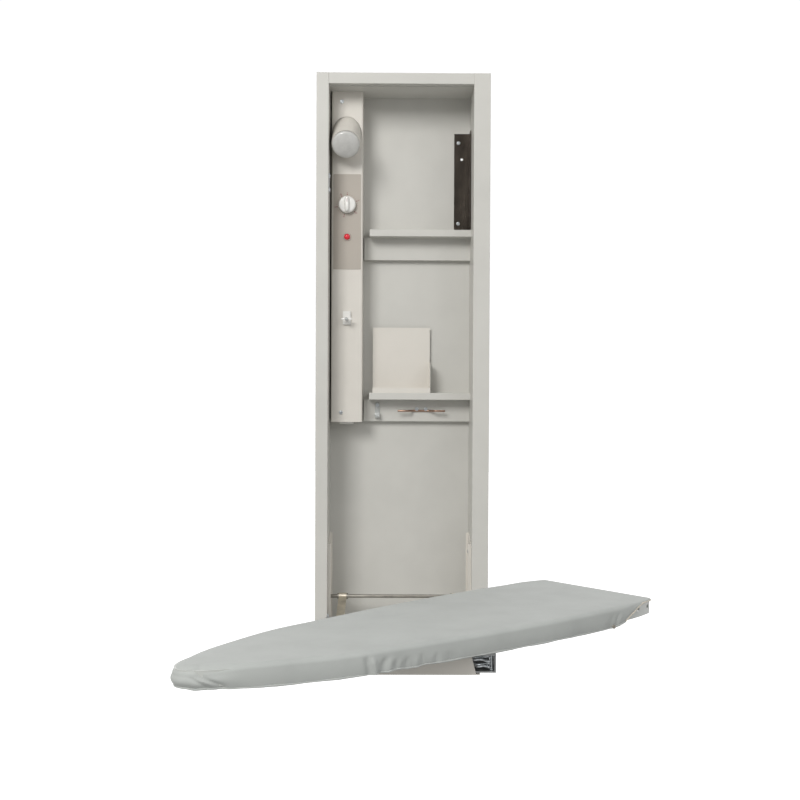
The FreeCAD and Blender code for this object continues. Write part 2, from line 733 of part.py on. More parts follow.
def terminal_block():
    block = box(BOX_X - TERMINAL_HALF, BOX_X + TERMINAL_HALF, BOX_BACK_Y - TERMINAL_T, BOX_BACK_Y,
                TERMINAL_Z - TERMINAL_HALF_H, TERMINAL_Z + TERMINAL_HALF_H)
    pockets = [rod(Vec(BOX_X + x, BOX_BACK_Y - TERMINAL_T - 1, TERMINAL_Z), AXIS_Y, POCKET_R,
                   POCKET_L) for x in (-POCKET_PITCH, 0, POCKET_PITCH)]
    return cut(block, *pockets)


# ---------------------------------------------------------------- lamp

def lamp_shroud():
    outer = rod(lamp_point(-LAMP_IN), lamp_direction(), LAMP_R, LAMP_OUT + LAMP_IN)
    inner = rod(lamp_point(-LAMP_IN + LAMP_WALL), lamp_direction(), LAMP_R - LAMP_WALL,
                LAMP_OUT + LAMP_IN)
    return cut(outer, inner)


def lamp_socket():
    start = -LAMP_IN + LAMP_WALL
    cup = rod(lamp_point(start), lamp_direction(), BULB_BASE_R + SOCKET_WALL, SOCKET_L)
    bore = rod(lamp_point(start + SOCKET_FLOOR), lamp_direction(), BULB_BASE_R + RUN_PLAY,
               SOCKET_L)
    return cut(cup, bore)


def reflector_bulb():
    """A reflector bulb: screw base, neck, flared reflector, and a rim and domed face that stand
    just clear of the shroud's mouth."""
    along = -LAMP_IN + LAMP_WALL + SOCKET_FLOOR + BULB_LIFT
    neck_r = BULB_BASE_R - 1
    rim_start = LAMP_OUT + GAP
    flare_len = rim_start - along - BULB_BASE_L - BULB_NECK_L
    pieces = [rod(lamp_point(along), lamp_direction(), BULB_BASE_R, BULB_BASE_L)]
    along += BULB_BASE_L
    pieces.append(rod(lamp_point(along), lamp_direction(), neck_r, BULB_NECK_L))
    along += BULB_NECK_L
    pieces.append(Part.makeCone(neck_r, BULB_MOUTH_R, flare_len, lamp_point(along),
                                lamp_direction()))
    pieces.append(rod(lamp_point(rim_start), lamp_direction(), BULB_FACE_R, BULB_RIM_L))
    along = rim_start + BULB_RIM_L
    dome_r = (BULB_FACE_R ** 2 + BULB_DOME_H ** 2) / (2 * BULB_DOME_H)
    ball = Part.makeSphere(dome_r, lamp_point(along + BULB_DOME_H - dome_r))
    pieces.append(ball.common(rod(lamp_point(along), lamp_direction(), BULB_FACE_R,
                                  BULB_DOME_H + 1)))
    return fuse(*pieces)


# ---------------------------------------------------------------- side channels and cross rod

def channel_screw_points(wall_x, inward):
    return [Vec(wall_x + inward.x * CHANNEL_T, y, z) for y, z in CHANNEL_SCREWS]


def side_channel(wall_x, inward):
    """A folded channel on the side wall that carries one end of the cross rod."""
    def span(near, far):
        return sorted((wall_x + inward.x * near, wall_x + inward.x * far))

    web_x = span(0, CHANNEL_T)
    web = side_profile([(CHANNEL_FRONT, RAIL_H), (CHANNEL_REAR, RAIL_H),
                        (CHANNEL_REAR, CHANNEL_TOP_REAR), (CHANNEL_FRONT, CHANNEL_TOP_FRONT)],
                       web_x[0], web_x[1])
    lip_x = span(0, CHANNEL_LIP)
    front = box(lip_x[0], lip_x[1], CHANNEL_FRONT, CHANNEL_FRONT + CHANNEL_T, RAIL_H,
                CHANNEL_TOP_FRONT)
    rear = box(lip_x[0], lip_x[1], CHANNEL_REAR - CHANNEL_T, CHANNEL_REAR, RAIL_H,
               CHANNEL_TOP_REAR - 1)
    rod_hole = rod(Vec(lip_x[0] - 1, ROD_Y, ROD_Z), AXIS_X, ROD_R + RUN_PLAY, CHANNEL_LIP + 2)
    holes = [screw_hole(p + inward, inward * -1, 4) for p in channel_screw_points(wall_x, inward)]
    return cut(fuse(web, front, rear), rod_hole, *holes)


def channel_screws():
    points = [(p, inward) for wall_x, inward in ((LEFT, AXIS_X), (RIGHT, AXIS_X * -1))
              for p in channel_screw_points(wall_x, inward)]
    return group([screw(p, inward * -1, CHANNEL_SCREW_L) for p, inward in points])


def cross_rod():
    return rod(Vec(LEFT + 0.1, ROD_Y, ROD_Z), AXIS_X, ROD_R, RIGHT - LEFT - 0.2)


def rod_collars():
    rings = []
    for side in (-1, 1):
        for end in (-1, 1):
            middle = CENTRE + side * STRAP_OFFSET + end * (STRAP_W / 2 + GAP + COLLAR_L / 2)
            ring = rod(Vec(middle - COLLAR_L / 2, ROD_Y, ROD_Z), AXIS_X, ROD_R + COLLAR_WALL,
                       COLLAR_L)
            bore = rod(Vec(middle - COLLAR_L, ROD_Y, ROD_Z), AXIS_X, ROD_R + RUN_PLAY,
                       COLLAR_L * 2)
            rings.append(cut(ring, bore))
    return group(rings)


# ---------------------------------------------------------------- straps and arm

def strap(side):
    """A flat steel strap, rolled into an eye on the cross rod and on the arm's pin."""
    x0 = CENTRE + side * STRAP_OFFSET - STRAP_W / 2
    rod_end = Vec(x0, ROD_Y, ROD_Z)
    pin_end = Vec(x0, PIN_Y, PIN_Z)
    run = pin_end.sub(rod_end)
    bar = box(x0, x0 + STRAP_W, 0, run.Length, -STRAP_T / 2, STRAP_T / 2)
    bar.rotate(Vec(0, 0, 0), AXIS_X, math.degrees(math.atan2(run.z, run.y)))
    bar.translate(Vec(0, ROD_Y, ROD_Z))
    eyes = [rod(rod_end, AXIS_X, ROD_R + ROD_EYE_WALL, STRAP_W),
            rod(pin_end, AXIS_X, PIN_R + PIN_EYE_WALL, STRAP_W)]
    bores = [rod(rod_end - AXIS_X, AXIS_X, ROD_R + RUN_PLAY, STRAP_W + 2),
             rod(pin_end - AXIS_X, AXIS_X, PIN_R + RUN_PLAY, STRAP_W + 2)]
    return cut(fuse(bar, *eyes), *bores)


def rail_outline(inset=0.0):
    """Upper and lower edges of a rail in the y-z plane, drawn in by an inset."""
    low = PIN_Z - RAIL_NOSE_R + inset
    high = PIN_Z + RAIL_NOSE_R - inset
    return [(PIN_Y, low), (RAIL_BEND_Y, RAIL_FOOT_Z + inset), (RAIL_END_Y, RAIL_FOOT_Z + inset),
            (RAIL_END_Y, RAIL_TOP_Z - inset), (RAIL_BEND_Y, RAIL_TOP_Z - inset), (PIN_Y, high)]


def arm_rail(side):
    """A tapered channel, open towards the middle of the arm."""
    inner_x = CENTRE + side * RAIL_INNER
    outer_x = CENTRE + side * RAIL_OUTER
    x0, x1 = sorted((inner_x, outer_x))
    body = side_profile(rail_outline(), x0, x1)
    nose = rod(Vec(x0, PIN_Y, PIN_Z), AXIS_X, RAIL_NOSE_R, x1 - x0)
    body = fuse(body, nose)
    hollow_x = sorted((inner_x - side, outer_x - side * RAIL_WALL))
    hollow = side_profile([(PIN_Y + 40, PIN_Z - RAIL_NOSE_R + RAIL_WALL)] + rail_outline(RAIL_WALL)
                          + [(PIN_Y + 40, PIN_Z + RAIL_NOSE_R - RAIL_WALL)],
                          hollow_x[0], hollow_x[1])
    ends = box(hollow_x[0], hollow_x[1], RAIL_END_Y - 1, RAIL_END_Y + 5, RAIL_FOOT_Z + RAIL_WALL,
               RAIL_TOP_Z - RAIL_WALL)
    mouth = box(hollow_x[0], hollow_x[1], PIN_Y - 10, PIN_Y + 30, PIN_Z - 40, PIN_Z + 40)
    pin_hole = rod(Vec(x0 - 1, PIN_Y, PIN_Z), AXIS_X, PIN_R + RUN_PLAY, x1 - x0 + 2)
    return cut(body, hollow, ends, mouth, pin_hole)


def arm_pins():
    """One headed pin on each side, fixed in the rail's web, that the strap's eye turns on."""
    pins = []
    for side in (-1, 1):
        outer_x = CENTRE + side * (RAIL_OUTER - 0.2)
        inner_end = CENTRE + side * (STRAP_OFFSET - STRAP_W / 2 - GAP)
        x0, x1 = sorted((outer_x, inner_end))
        shaft = rod(Vec(x0, PIN_Y, PIN_Z), AXIS_X, PIN_R, x1 - x0)
        head_x = inner_end - (PIN_HEAD_T if side > 0 else 0)
        head = rod(Vec(head_x, PIN_Y, PIN_Z), AXIS_X, PIN_R + 3, PIN_HEAD_T)
        web_x = CENTRE + side * (RAIL_OUTER - RAIL_WALL)
        strap_x = CENTRE + side * (STRAP_OFFSET + STRAP_W / 2 + GAP)
        s0, s1 = sorted((web_x, strap_x))
        spacer = rod(Vec(s0, PIN_Y, PIN_Z), AXIS_X, PIN_R + 2.5, s1 - s0)
        pins.append(fuse(shaft, head, spacer))
    return group(pins)


def arm_end_plate():
    """The painted plate across the arm's front, with a lip turned back under the rails."""
    y0 = RAIL_END_Y - END_PLATE_T
    points = [Vec(CENTRE - END_PLATE_FOOT_HALF, y0, END_PLATE_FOOT),
              Vec(CENTRE + END_PLATE_FOOT_HALF, y0, END_PLATE_FOOT),
              Vec(CENTRE + END_PLATE_TOP_HALF, y0, RAIL_TOP_Z),
              Vec(CENTRE - END_PLATE_TOP_HALF, y0, RAIL_TOP_Z)]
    plate = face_of(points).extrude(AXIS_Y * END_PLATE_T)
    lip = box(CENTRE - END_LIP_HALF, CENTRE + END_LIP_HALF, y0, y0 + END_LIP_DEPTH,
              END_PLATE_FOOT, END_PLATE_FOOT + END_PLATE_T)
    lip = eased(lip, 8.0, AXIS_Z, lambda c: c.y > y0 + 10)
    return fuse(plate, lip)


def arm_deck():
    """The cross plate on the rails that carries the swivel bolt."""
    half = RAIL_INNER + DECK_OVERLAP
    plate = box(CENTRE - half, CENTRE + half, DECK_FRONT, DECK_REAR, RAIL_TOP_Z, RAIL_TOP_Z + DECK_T)
    plate = eased(plate, 10.0, AXIS_Z, lambda c: c.y > DECK_REAR - 10)
    rib = box(CENTRE - RAIL_INNER + 1, CENTRE + RAIL_INNER - 1, DECK_REAR - DECK_T, DECK_REAR,
              RAIL_TOP_Z - DECK_RIB_H, RAIL_TOP_Z)
    bolt_hole = rod(Vec(CENTRE, PIVOT_Y, RAIL_TOP_Z - 1), AXIS_Z, PIVOT_R + RUN_PLAY, DECK_T + 2)
    return cut(fuse(plate, rib), bolt_hole)


def fold_springs():
    """Bent zinc-plated spring rods lying in the mouth of each rail."""
    rods = []
    for side in (-1, 1):
        x0 = CENTRE + side * (RAIL_INNER + 3)
        x1 = CENTRE + side * (RAIL_OUTER - 12)
        for level, bow, y in SPRING_RODS:
            start = Vec(x0, y, level)
            middle = Vec((x0 + x1) / 2, y + 3, level - bow)
            end = Vec(x1, y, level + 1)
            arc = Part.Arc(start, middle, end).toShape()
            profile = Part.Wire(Part.makeCircle(SPRING_R, start, arc.tangentAt(arc.FirstParameter)))
            rods.append(Part.Wire(arc).makePipeShell([profile], True, False))
    return group([Part.Solid(Part.Shell(r.Faces)) if r.ShapeType != "Solid" else r for r in rods])


def spring_posts():
    posts = []
    for side in (-1, 1):
        x = CENTRE + side * (RAIL_OUTER - 7)
        posts.append(rod(Vec(x, SPRING_POST_Y, RAIL_FOOT_Z + RAIL_WALL), AXIS_Z, SPRING_POST_R,
                         RAIL_TOP_Z - RAIL_FOOT_Z - 2 * RAIL_WALL))
    return group(posts)


def hexagon(centre, radius, height):
    corners = [Vec(centre.x + radius * math.cos(math.radians(60 * k)),
                   centre.y + radius * math.sin(math.radians(60 * k)), centre.z)
               for k in range(6)]
    return face_of(corners).extrude(AXIS_Z * height)


def pivot_bolt():
    foot_z = RAIL_TOP_Z - BOLT_TAIL
    shank = rod(Vec(CENTRE, PIVOT_Y, foot_z), AXIS_Z, PIVOT_R, BOLT_HEAD_Z - foot_z)
    washer = rod(Vec(CENTRE, PIVOT_Y, BOLT_HEAD_Z), AXIS_Z, BOLT_WASHER_R,
                 BOLT_WASHER_T)
    head = hexagon(Vec(CENTRE, PIVOT_Y, BOLT_HEAD_Z + BOLT_WASHER_T), NUT_R, BOLT_HEAD_H)
    return fuse(shank, washer, head)


def pivot_nut():
    nut = hexagon(Vec(CENTRE, PIVOT_Y, RAIL_TOP_Z - NUT_H), NUT_R, NUT_H)
    return cut(nut, rod(Vec(CENTRE, PIVOT_Y, RAIL_TOP_Z - 10), AXIS_Z, PIVOT_R + RUN_PLAY, 12))


def swivel_disc():
    disc = rod(Vec(CENTRE, PIVOT_Y, RAIL_TOP_Z + DECK_T + GAP), AXIS_Z, DISC_R, DISC_T)
    bore = rod(Vec(CENTRE, PIVOT_Y, RAIL_TOP_Z), AXIS_Z, PIVOT_R + RUN_PLAY, 10)
    return cut(disc, bore)


# ---------------------------------------------------------------- board

def placed_board(shape):
    """From board coordinates (pivot at 0, nose towards -y) to the resting pose."""
    shape.rotate(Vec(0, 0, 0), AXIS_Z, -BOARD_SWING)
    shape.translate(Vec(CENTRE, PIVOT_Y, 0))
    return shape


def board_y(from_heel):
    return HEEL_TO_PIVOT - from_heel


def board_blank(inset, z0, z1):
    """The board's outline, drawn in by an inset, as a flat solid in board coordinates."""
    right = [Vec(half - inset, board_y(u if u else inset), z0) for u, half in BOARD_SIDE]
    tip = Vec(0, board_y(BOARD_LENGTH - inset), z0)
    left = [Vec(-p.x, p.y, z0) for p in reversed(right)]
    side = Part.BSplineCurve()
    side.interpolate(right + [tip] + left)
    heel = Part.LineSegment(left[-1], right[0]).toShape()
    blank = Part.Face(Part.Wire([side.toShape(), heel])).extrude(AXIS_Z * (z1 - z0))
    corner_y = board_y(inset)
    return eased(blank, HEEL_CORNER_R - inset, AXIS_Z, lambda c: abs(c.y - corner_y) < 1)


def board_pan():
    """An upturned sheet tray: the board's stiff core, with two holes in each side at the heel."""
    outer = board_blank(PAN_INSET, PAN_RIM_Z, PAN_TOP_Z)
    inner = board_blank(PAN_INSET + PAN_T, PAN_RIM_Z - 1, PAN_TOP_Z - PAN_T)
    holes = [rod(Vec(-200, board_y(u), PAN_HOLE_Z), AXIS_X, PAN_HOLE_R, 400) for u in PAN_HOLES]
    return placed_board(cut(outer, inner, *holes))


def board_pad():
    return placed_board(board_blank(PAD_INSET, PAN_TOP_Z, BOARD_TOP_Z - COVER_T))


def board_cover():
    """The fitted cover: a top sheet and a skirt that stops short of the heel."""
    outer = board_blank(0, SKIRT_Z, BOARD_TOP_Z)
    inner = board_blank(COVER_T, SKIRT_Z - 1, BOARD_TOP_Z - COVER_T)
    bare = box(-200, 200, board_y(HEEL_BARE), board_y(-10), SKIRT_Z - 2, PAN_TOP_Z + 1)
    return placed_board(cut(outer, inner, bare))


def swivel_bracket():
    """A hat-shaped bracket under the pan that turns on the swivel bolt."""
    top_z = PAN_TOP_Z - PAN_T
    base = box(-HAT_HALF_X, HAT_HALF_X, -HAT_HALF_Y, HAT_HALF_Y, PLATE_BASE_Z,
               PLATE_BASE_Z + PLATE_T)
    pieces = []
    for side in (-1, 1):
        wall_x = sorted((side * HAT_HALF_X, side * (HAT_HALF_X - PLATE_T)))
        pieces.append(box(wall_x[0], wall_x[1], -HAT_HALF_Y, HAT_HALF_Y, PLATE_BASE_Z, top_z))
        wing_x = sorted((side * (HAT_HALF_X - PLATE_T), side * (HAT_HALF_X + HAT_FLANGE)))
        pieces.append(box(wing_x[0], wing_x[1], -HAT_HALF_Y, HAT_HALF_Y, top_z - PLATE_T, top_z))
    bore = rod(Vec(0, 0, PLATE_BASE_Z - 1), AXIS_Z, PIVOT_R + RUN_PLAY, PLATE_T + 2)
    return placed_board(cut(fuse(base, *pieces), bore))


# ---------------------------------------------------------------- all pieces

def main():
    os.makedirs("parts", exist_ok=True)
    half_w = FRAME_W / 2
    save("back_panel", back_panel())
    save("side_panel_left", side_panel(LEFT - PANEL_T, LEFT, AXIS_X))
    save("side_panel_right", side_panel(RIGHT, RIGHT, AXIS_X * -1))
    save("top_panel", top_panel())
    save("bottom_panel", bottom_panel())
    save("frame_stile_left", cut(frame_stile(-half_w, LEFT, LEFT - PANEL_T),
                                 *[screw_hole(p, AXIS_X * -1, HINGE_SCREW_L)
                                   for p in hinge_screw_points()]))
    save("frame_stile_right", frame_stile(RIGHT, half_w, RIGHT))
    save("frame_rail_top", frame_rail(FRAME_H - RAIL_H))
    save("frame_rail_bottom", frame_rail(0))
    save("hinge_leaves", hinge_leaves())
    save("hinge_screws", hinge_screws())
    save("cable_bushing", cable_bushing())
    save("shelf_upper", cut(shelf(UPPER_SHELF_Z), *rest_seat()))
    save("shelf_lower", shelf(LOWER_SHELF_Z))
    save("cleat_upper", shelf_cleat(UPPER_SHELF_Z))
    save("cleat_lower", cleat_lower())
    save("storage_tray", storage_tray())
    save("iron_rest", iron_rest())
    save("iron_rest_screws", iron_rest_screws())
    save("cord_cleat", cord_cleat())
    save("cord_cleat_screws", cord_cleat_screws())
    save("cord_clip", cord_clip())
    save("cord_clip_screw", cord_clip_screw())
    save("control_box_cover", control_box_cover())
    save("control_box_back", control_box_back())
    save("control_box_screws", control_box_screws())
    save("label_plate", label_plate())
    save("timer_body", timer_body())
    save("timer_knob", timer_knob())
    save("pilot_bezel", pilot_bezel())
    save("pilot_lens", pilot_lens())
    save("switch_body", switch_body())
    save("switch_plunger", switch_plunger())
    save("outlet", outlet())
    save("terminal_block", terminal_block())
    save("lamp_shroud", lamp_shroud())
    save("lamp_socket", lamp_socket())
    save("reflector_bulb", reflector_bulb())
    save("side_channel_left", side_channel(LEFT, AXIS_X))
    save("side_channel_right", side_channel(RIGHT, AXIS_X * -1))
    save("channel_screws", channel_screws())
    save("cross_rod", cross_rod())
    save("rod_collars", rod_collars())
    save("strap_left", strap(-1))
    save("strap_right", strap(1))
    save("arm_rail_left", arm_rail(-1))
    save("arm_rail_right", arm_rail(1))
    save("arm_pins", arm_pins())
    save("arm_end_plate", arm_end_plate())
    save("arm_deck", arm_deck())
    save("fold_springs", fold_springs())
    save("spring_posts", spring_posts())
    save("pivot_bolt", pivot_bolt())
    save("pivot_nut", pivot_nut())
    save("swivel_disc", swivel_disc())
    save("swivel_bracket", swivel_bracket())
    save("board_pan", board_pan())
    save("board_pad", board_pad())
    save("board_cover", board_cover())


main()
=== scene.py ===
import json
import math

import bmesh
import bpy
import numpy as np
from mathutils import Matrix, Vector


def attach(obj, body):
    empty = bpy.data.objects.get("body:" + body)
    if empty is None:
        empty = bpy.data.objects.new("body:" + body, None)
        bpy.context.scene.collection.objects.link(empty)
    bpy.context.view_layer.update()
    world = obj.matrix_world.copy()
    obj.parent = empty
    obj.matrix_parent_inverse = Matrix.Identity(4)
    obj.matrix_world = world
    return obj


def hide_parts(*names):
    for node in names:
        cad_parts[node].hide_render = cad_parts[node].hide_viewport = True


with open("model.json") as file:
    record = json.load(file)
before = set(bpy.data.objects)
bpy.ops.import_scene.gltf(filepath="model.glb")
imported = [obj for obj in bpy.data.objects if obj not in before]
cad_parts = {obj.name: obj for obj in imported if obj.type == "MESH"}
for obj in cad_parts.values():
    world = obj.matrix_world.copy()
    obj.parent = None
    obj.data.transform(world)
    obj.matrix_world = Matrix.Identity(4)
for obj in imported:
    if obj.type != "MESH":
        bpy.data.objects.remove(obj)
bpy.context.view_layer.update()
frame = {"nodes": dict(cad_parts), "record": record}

# The part's origin is the centre of the wall-screw pattern on the back panel. P() turns cabinet
# millimetres (x from the frame's middle, y from its face, z from its foot) into the row frame.
ORIGIN_Y = 135.0
ORIGIN_Z = 595.0
MM = 0.001
RNG = np.random.default_rng(7)

CENTRE_X = -4.7
PIVOT_Y = -584.0
HEEL_TO_PIVOT = 540.0
BOARD_SWING = math.radians(48.7)
BOARD_SIDE = [(140, 0), (152, 60), (158, 140), (158, 290), (149, 460), (131, 640), (118, 745),
              (87, 850), (57, 930), (32, 980)]
BOARD_LENGTH = 1000.0
BOX_X = -129.0
BOX_FRONT = 64.0
LABEL_FRONT = 63.2


def P(x, y, z):
    return Vector((x, y - ORIGIN_Y, z - ORIGIN_Z)) * MM


def smooth(t):
    t = np.clip(t, 0, 1)
    return t * t * (3 - 2 * t)


# ---------------------------------------------------------------- materials

NOISE_ROUGHNESS = 0.55


class Surface:
    """A Principled material with helpers for procedural colour, roughness and bump."""

    def __init__(self, name, colour, roughness, metallic=0.0, **sockets):
        self.material = bpy.data.materials.new(name)
        self.material.use_nodes = True
        self.tree = self.material.node_tree
        self.shader = self.tree.nodes["Principled BSDF"]
        self.shader.inputs["Base Color"].default_value = (*colour, 1)
        self.shader.inputs["Roughness"].default_value = roughness
        self.shader.inputs["Metallic"].default_value = metallic
        for key, value in sockets.items():
            self.shader.inputs[key.replace("_", " ")].default_value = value
        self.place = self.node("ShaderNodeTexCoord").outputs["Object"]
        self.height = None

    def node(self, kind, **settings):
        made = self.tree.nodes.new(kind)
        for key, value in settings.items():
            setattr(made, key, value)
        return made

    def wire(self, out, into):
        self.tree.links.new(out, into)

    def stretched(self, scale):
        mapping = self.node("ShaderNodeMapping")
        mapping.inputs["Scale"].default_value = scale
        self.wire(self.place, mapping.inputs["Vector"])
        return mapping.outputs["Vector"]

    def noise(self, scale, detail=3.0, stretch=None):
        noise = self.node("ShaderNodeTexNoise")
        noise.inputs["Scale"].default_value = scale
        noise.inputs["Detail"].default_value = detail
        noise.inputs["Roughness"].default_value = NOISE_ROUGHNESS
        self.wire(self.stretched(stretch) if stretch else self.place, noise.inputs["Vector"])
        return noise.outputs["Fac"]

    def wave(self, axis, scale, distortion=0.0):
        wave = self.node("ShaderNodeTexWave", wave_type="BANDS", bands_direction=axis)
        wave.inputs["Scale"].default_value = scale
        wave.inputs["Distortion"].default_value = distortion
        self.wire(self.place, wave.inputs["Vector"])
        return wave.outputs["Fac"]

    def ramp(self, fac, stops):
        ramp = self.node("ShaderNodeValToRGB")
        self.wire(fac, ramp.inputs["Fac"])
        ramp.color_ramp.elements[0].position = stops[0][0]
        ramp.color_ramp.elements[1].position = stops[-1][0]
        for position, _ in stops[1:-1]:
            ramp.color_ramp.elements.new(position)
        for element, (_, value) in zip(ramp.color_ramp.elements, stops):
            element.color = (*value, 1) if isinstance(value, tuple) else (value, value, value, 1)
        return ramp.outputs["Color"]

    def colour(self, fac, stops):
        self.wire(self.ramp(fac, stops), self.shader.inputs["Base Color"])
        return self

    def rough(self, fac, low, high):
        spread = self.node("ShaderNodeMapRange")
        spread.inputs["To Min"].default_value = low
        spread.inputs["To Max"].default_value = high
        self.wire(fac, spread.inputs["Value"])
        self.wire(spread.outputs["Result"], self.shader.inputs["Roughness"])
        return self

    def bump(self, fac, strength, depth_mm):
        bump = self.node("ShaderNodeBump")
        bump.inputs["Strength"].default_value = strength
        bump.inputs["Distance"].default_value = depth_mm * MM
        self.wire(fac, bump.inputs["Height"])
        if self.height:
            self.wire(self.height, bump.inputs["Normal"])
        self.height = bump.outputs["Normal"]
        self.wire(self.height, self.shader.inputs["Normal"])
        return self


def tinted(colour, factor):
    return tuple(min(1.0, c * factor) for c in colour)


def paint(name, colour, roughness, grain, depth_mm, coat=0.15):
    made = Surface(name, colour, roughness, Coat_Weight=coat, Coat_Roughness=0.25)
    made.colour(made.noise(9.0, 5), [(0.30, tinted(colour, 0.955)), (0.55, colour),
                                     (0.80, tinted(colour, 1.03))])
    made.rough(made.noise(60.0, 4), roughness - 0.08, roughness + 0.10)
    made.bump(made.noise(grain, 4), 0.25, depth_mm)
    return made.bump(made.noise(grain / 12, 3), 0.12, depth_mm * 2)


def metal(name, colour, roughness, streak, depth_mm=0.05):
    made = Surface(name, colour, roughness, 1.0)
    lines = made.noise(90.0, 5, streak)
    made.colour(made.noise(38.0, 5), [(0.30, tinted(colour, 0.80)), (0.52, colour),
                                      (0.75, tinted(colour, 1.15))])
    made.rough(lines, roughness - 0.08, roughness + 0.14)
    return made.bump(lines, 0.30, depth_mm)


def plastic(name, colour, roughness, **sockets):
    made = Surface(name, colour, roughness, **sockets)
    made.colour(made.noise(45.0, 3), [(0.35, tinted(colour, 0.97)), (0.65, tinted(colour, 1.02))])
    made.rough(made.noise(300.0, 3), roughness - 0.04, roughness + 0.07)
    return made.bump(made.noise(900.0, 3), 0.15, 0.03)


CLOTH = (0.415, 0.432, 0.415)
CREAM = (0.66, 0.60, 0.50)


def cloth(name, colour, thread_mm=0.8):
    made = Surface(name, colour, 0.62, Sheen_Weight=0.18, Sheen_Roughness=0.45,
                   Specular_IOR_Level=0.35)
    made.colour(made.noise(14.0, 5), [(0.32, tinted(colour, 0.95)), (0.50, colour),
                                      (0.72, tinted(colour, 1.05))])
    made.rough(made.noise(120.0, 4), 0.54, 0.72)
    # The wave's bands repeat every 2 pi / 20 over its scale, so this is about a band to two threads.
    scale = 1 / thread_mm / MM / 20 * 3.1
    for axis in "XY":
        made.bump(made.wave(axis, scale, 0.6), 0.16, 0.10)
    return made.bump(made.noise(55.0, 5), 0.20, 0.5)


def frosted():
    made = Surface("frosted_glass", (0.50, 0.50, 0.49), 0.32, Coat_Weight=0.6, Coat_Roughness=0.08,
                   Transmission_Weight=0.12)
    made.colour(made.noise(60.0, 4), [(0.35, (0.58, 0.575, 0.55)), (0.65, (0.67, 0.665, 0.64))])
    return made.bump(made.noise(1500.0, 3), 0.12, 0.02)


def felt():
    made = Surface("pad_felt", (0.60, 0.60, 0.57), 0.9, Sheen_Weight=0.3)
    made.colour(made.noise(400.0, 5), [(0.3, (0.52, 0.52, 0.49)), (0.7, (0.66, 0.66, 0.63))])
    return made.bump(made.noise(700.0, 6), 0.6, 0.5)


def dark_plate():
    made = Surface("dark_steel", (0.075, 0.065, 0.055), 0.24, 0.9)
    made.colour(made.noise(30.0, 5), [(0.3, (0.05, 0.042, 0.035)), (0.7, (0.105, 0.088, 0.072))])
    made.rough(made.noise(80.0, 5, (1, 1, 0.1)), 0.14, 0.34)
    return made.bump(made.noise(220.0, 4), 0.15, 0.04)


def red_lens():
    made = Surface("red_lens", (0.62, 0.010, 0.03), 0.12, Coat_Weight=0.6, Coat_Roughness=0.05,
                   Emission_Strength=0.18)
    made.colour(made.noise(120.0, 2), [(0.35, (0.50, 0.008, 0.02)), (0.7, (0.68, 0.014, 0.035))])
    made.shader.inputs["Emission Color"].default_value = (0.8, 0.01, 0.03, 1)
    return made.bump(made.noise(500.0, 2), 0.05, 0.02)


SURFACES = {
    "cabinet_paint": paint("cabinet_paint", (0.580, 0.572, 0.535), 0.46, 420, 0.10),
    "box_paint": paint("box_paint", (0.685, 0.655, 0.600), 0.38, 800, 0.06, 0.25),
    "zinc": metal("zinc", (0.62, 0.65, 0.67), 0.28, (1, 1, 6)),
    "strap_steel": metal("strap_steel", (0.66, 0.61, 0.51), 0.42, (8, 0.4, 0.4), 0.12),
    "rail_steel": metal("rail_steel", (0.42, 0.43, 0.43), 0.40, (6, 0.5, 6), 0.08),
    "pan_steel": paint("pan_steel", (0.50, 0.515, 0.49), 0.36, 700, 0.05, 0.3),
    "dark_steel": dark_plate(),
    "copper_wire": metal("copper_wire", (0.44, 0.29, 0.22), 0.30, (0.5, 6, 6)),
    "white_plastic": plastic("white_plastic", (0.80, 0.79, 0.76), 0.25, Coat_Weight=0.5),
    "clear_plastic": plastic("clear_plastic", (0.78, 0.80, 0.79), 0.18, Transmission_Weight=0.45),
    "bezel_plastic": plastic("bezel_plastic", (0.66, 0.58, 0.52), 0.15, Transmission_Weight=0.3),
    "label_film": paint("label_film", (0.435, 0.395, 0.345), 0.50, 600, 0.03, 0.1),
    "red_lens": red_lens(),
    "socket_ceramic": plastic("socket_ceramic", (0.78, 0.75, 0.69), 0.20, Coat_Weight=0.6),
    "frosted_glass": frosted(),
    "disc_nylon": plastic("disc_nylon", (0.70, 0.68, 0.60), 0.45),
    "pad_felt": felt(),
    "cover_cloth": cloth("cover_cloth", CLOTH),
}
EXTRA = {
    "cream_tape": cloth("cream_tape", CREAM, 0.6),
    "rod_steel": metal("rod_steel", (0.33, 0.315, 0.28), 0.40, (0.5, 6, 6), 0.04),
    "draw_cord": cloth("draw_cord", (0.27, 0.25, 0.215), 0.5),
    "dial_print": plastic("dial_print", (0.20, 0.022, 0.035), 0.5),
}


# ---------------------------------------------------------------- CAD nodes

SLOT_OF = {s["node"]: s["material_slot"] for s in frame["record"]["subparts"]}
LOOK_OF = {"rod_collars": "rod_steel", "cross_rod": "rod_steel"}
SHARP = math.radians(32)
SOFT_EDGE = {"cabinet_paint": 0.35, "box_paint": 0.35, "rail_steel": 0.5, "strap_steel": 0.6,
             "dark_steel": 0.25, "white_plastic": 0.4}

for node, obj in frame["nodes"].items():
    slot_name = SLOT_OF[node]
    obj.data.materials.clear()
    obj.data.materials.append((SURFACES | EXTRA)[LOOK_OF.get(node, slot_name)].material)
    obj.data.shade_smooth()
    obj.data.set_sharp_from_angle(angle=SHARP)
    if slot_name in SOFT_EDGE:
        bevel = obj.modifiers.new("soft_edge", "BEVEL")
        bevel.width = SOFT_EDGE[slot_name] * MM
        bevel.segments = 2
        bevel.limit_method = "ANGLE"
        bevel.angle_limit = math.radians(40)
        bevel.harden_normals = True


# ---------------------------------------------------------------- mesh helpers

BOX_FACES = [(0, 1, 2, 3), (7, 6, 5, 4), (0, 4, 5, 1), (1, 5, 6, 2), (2, 6, 7, 3), (3, 7, 4, 0)]


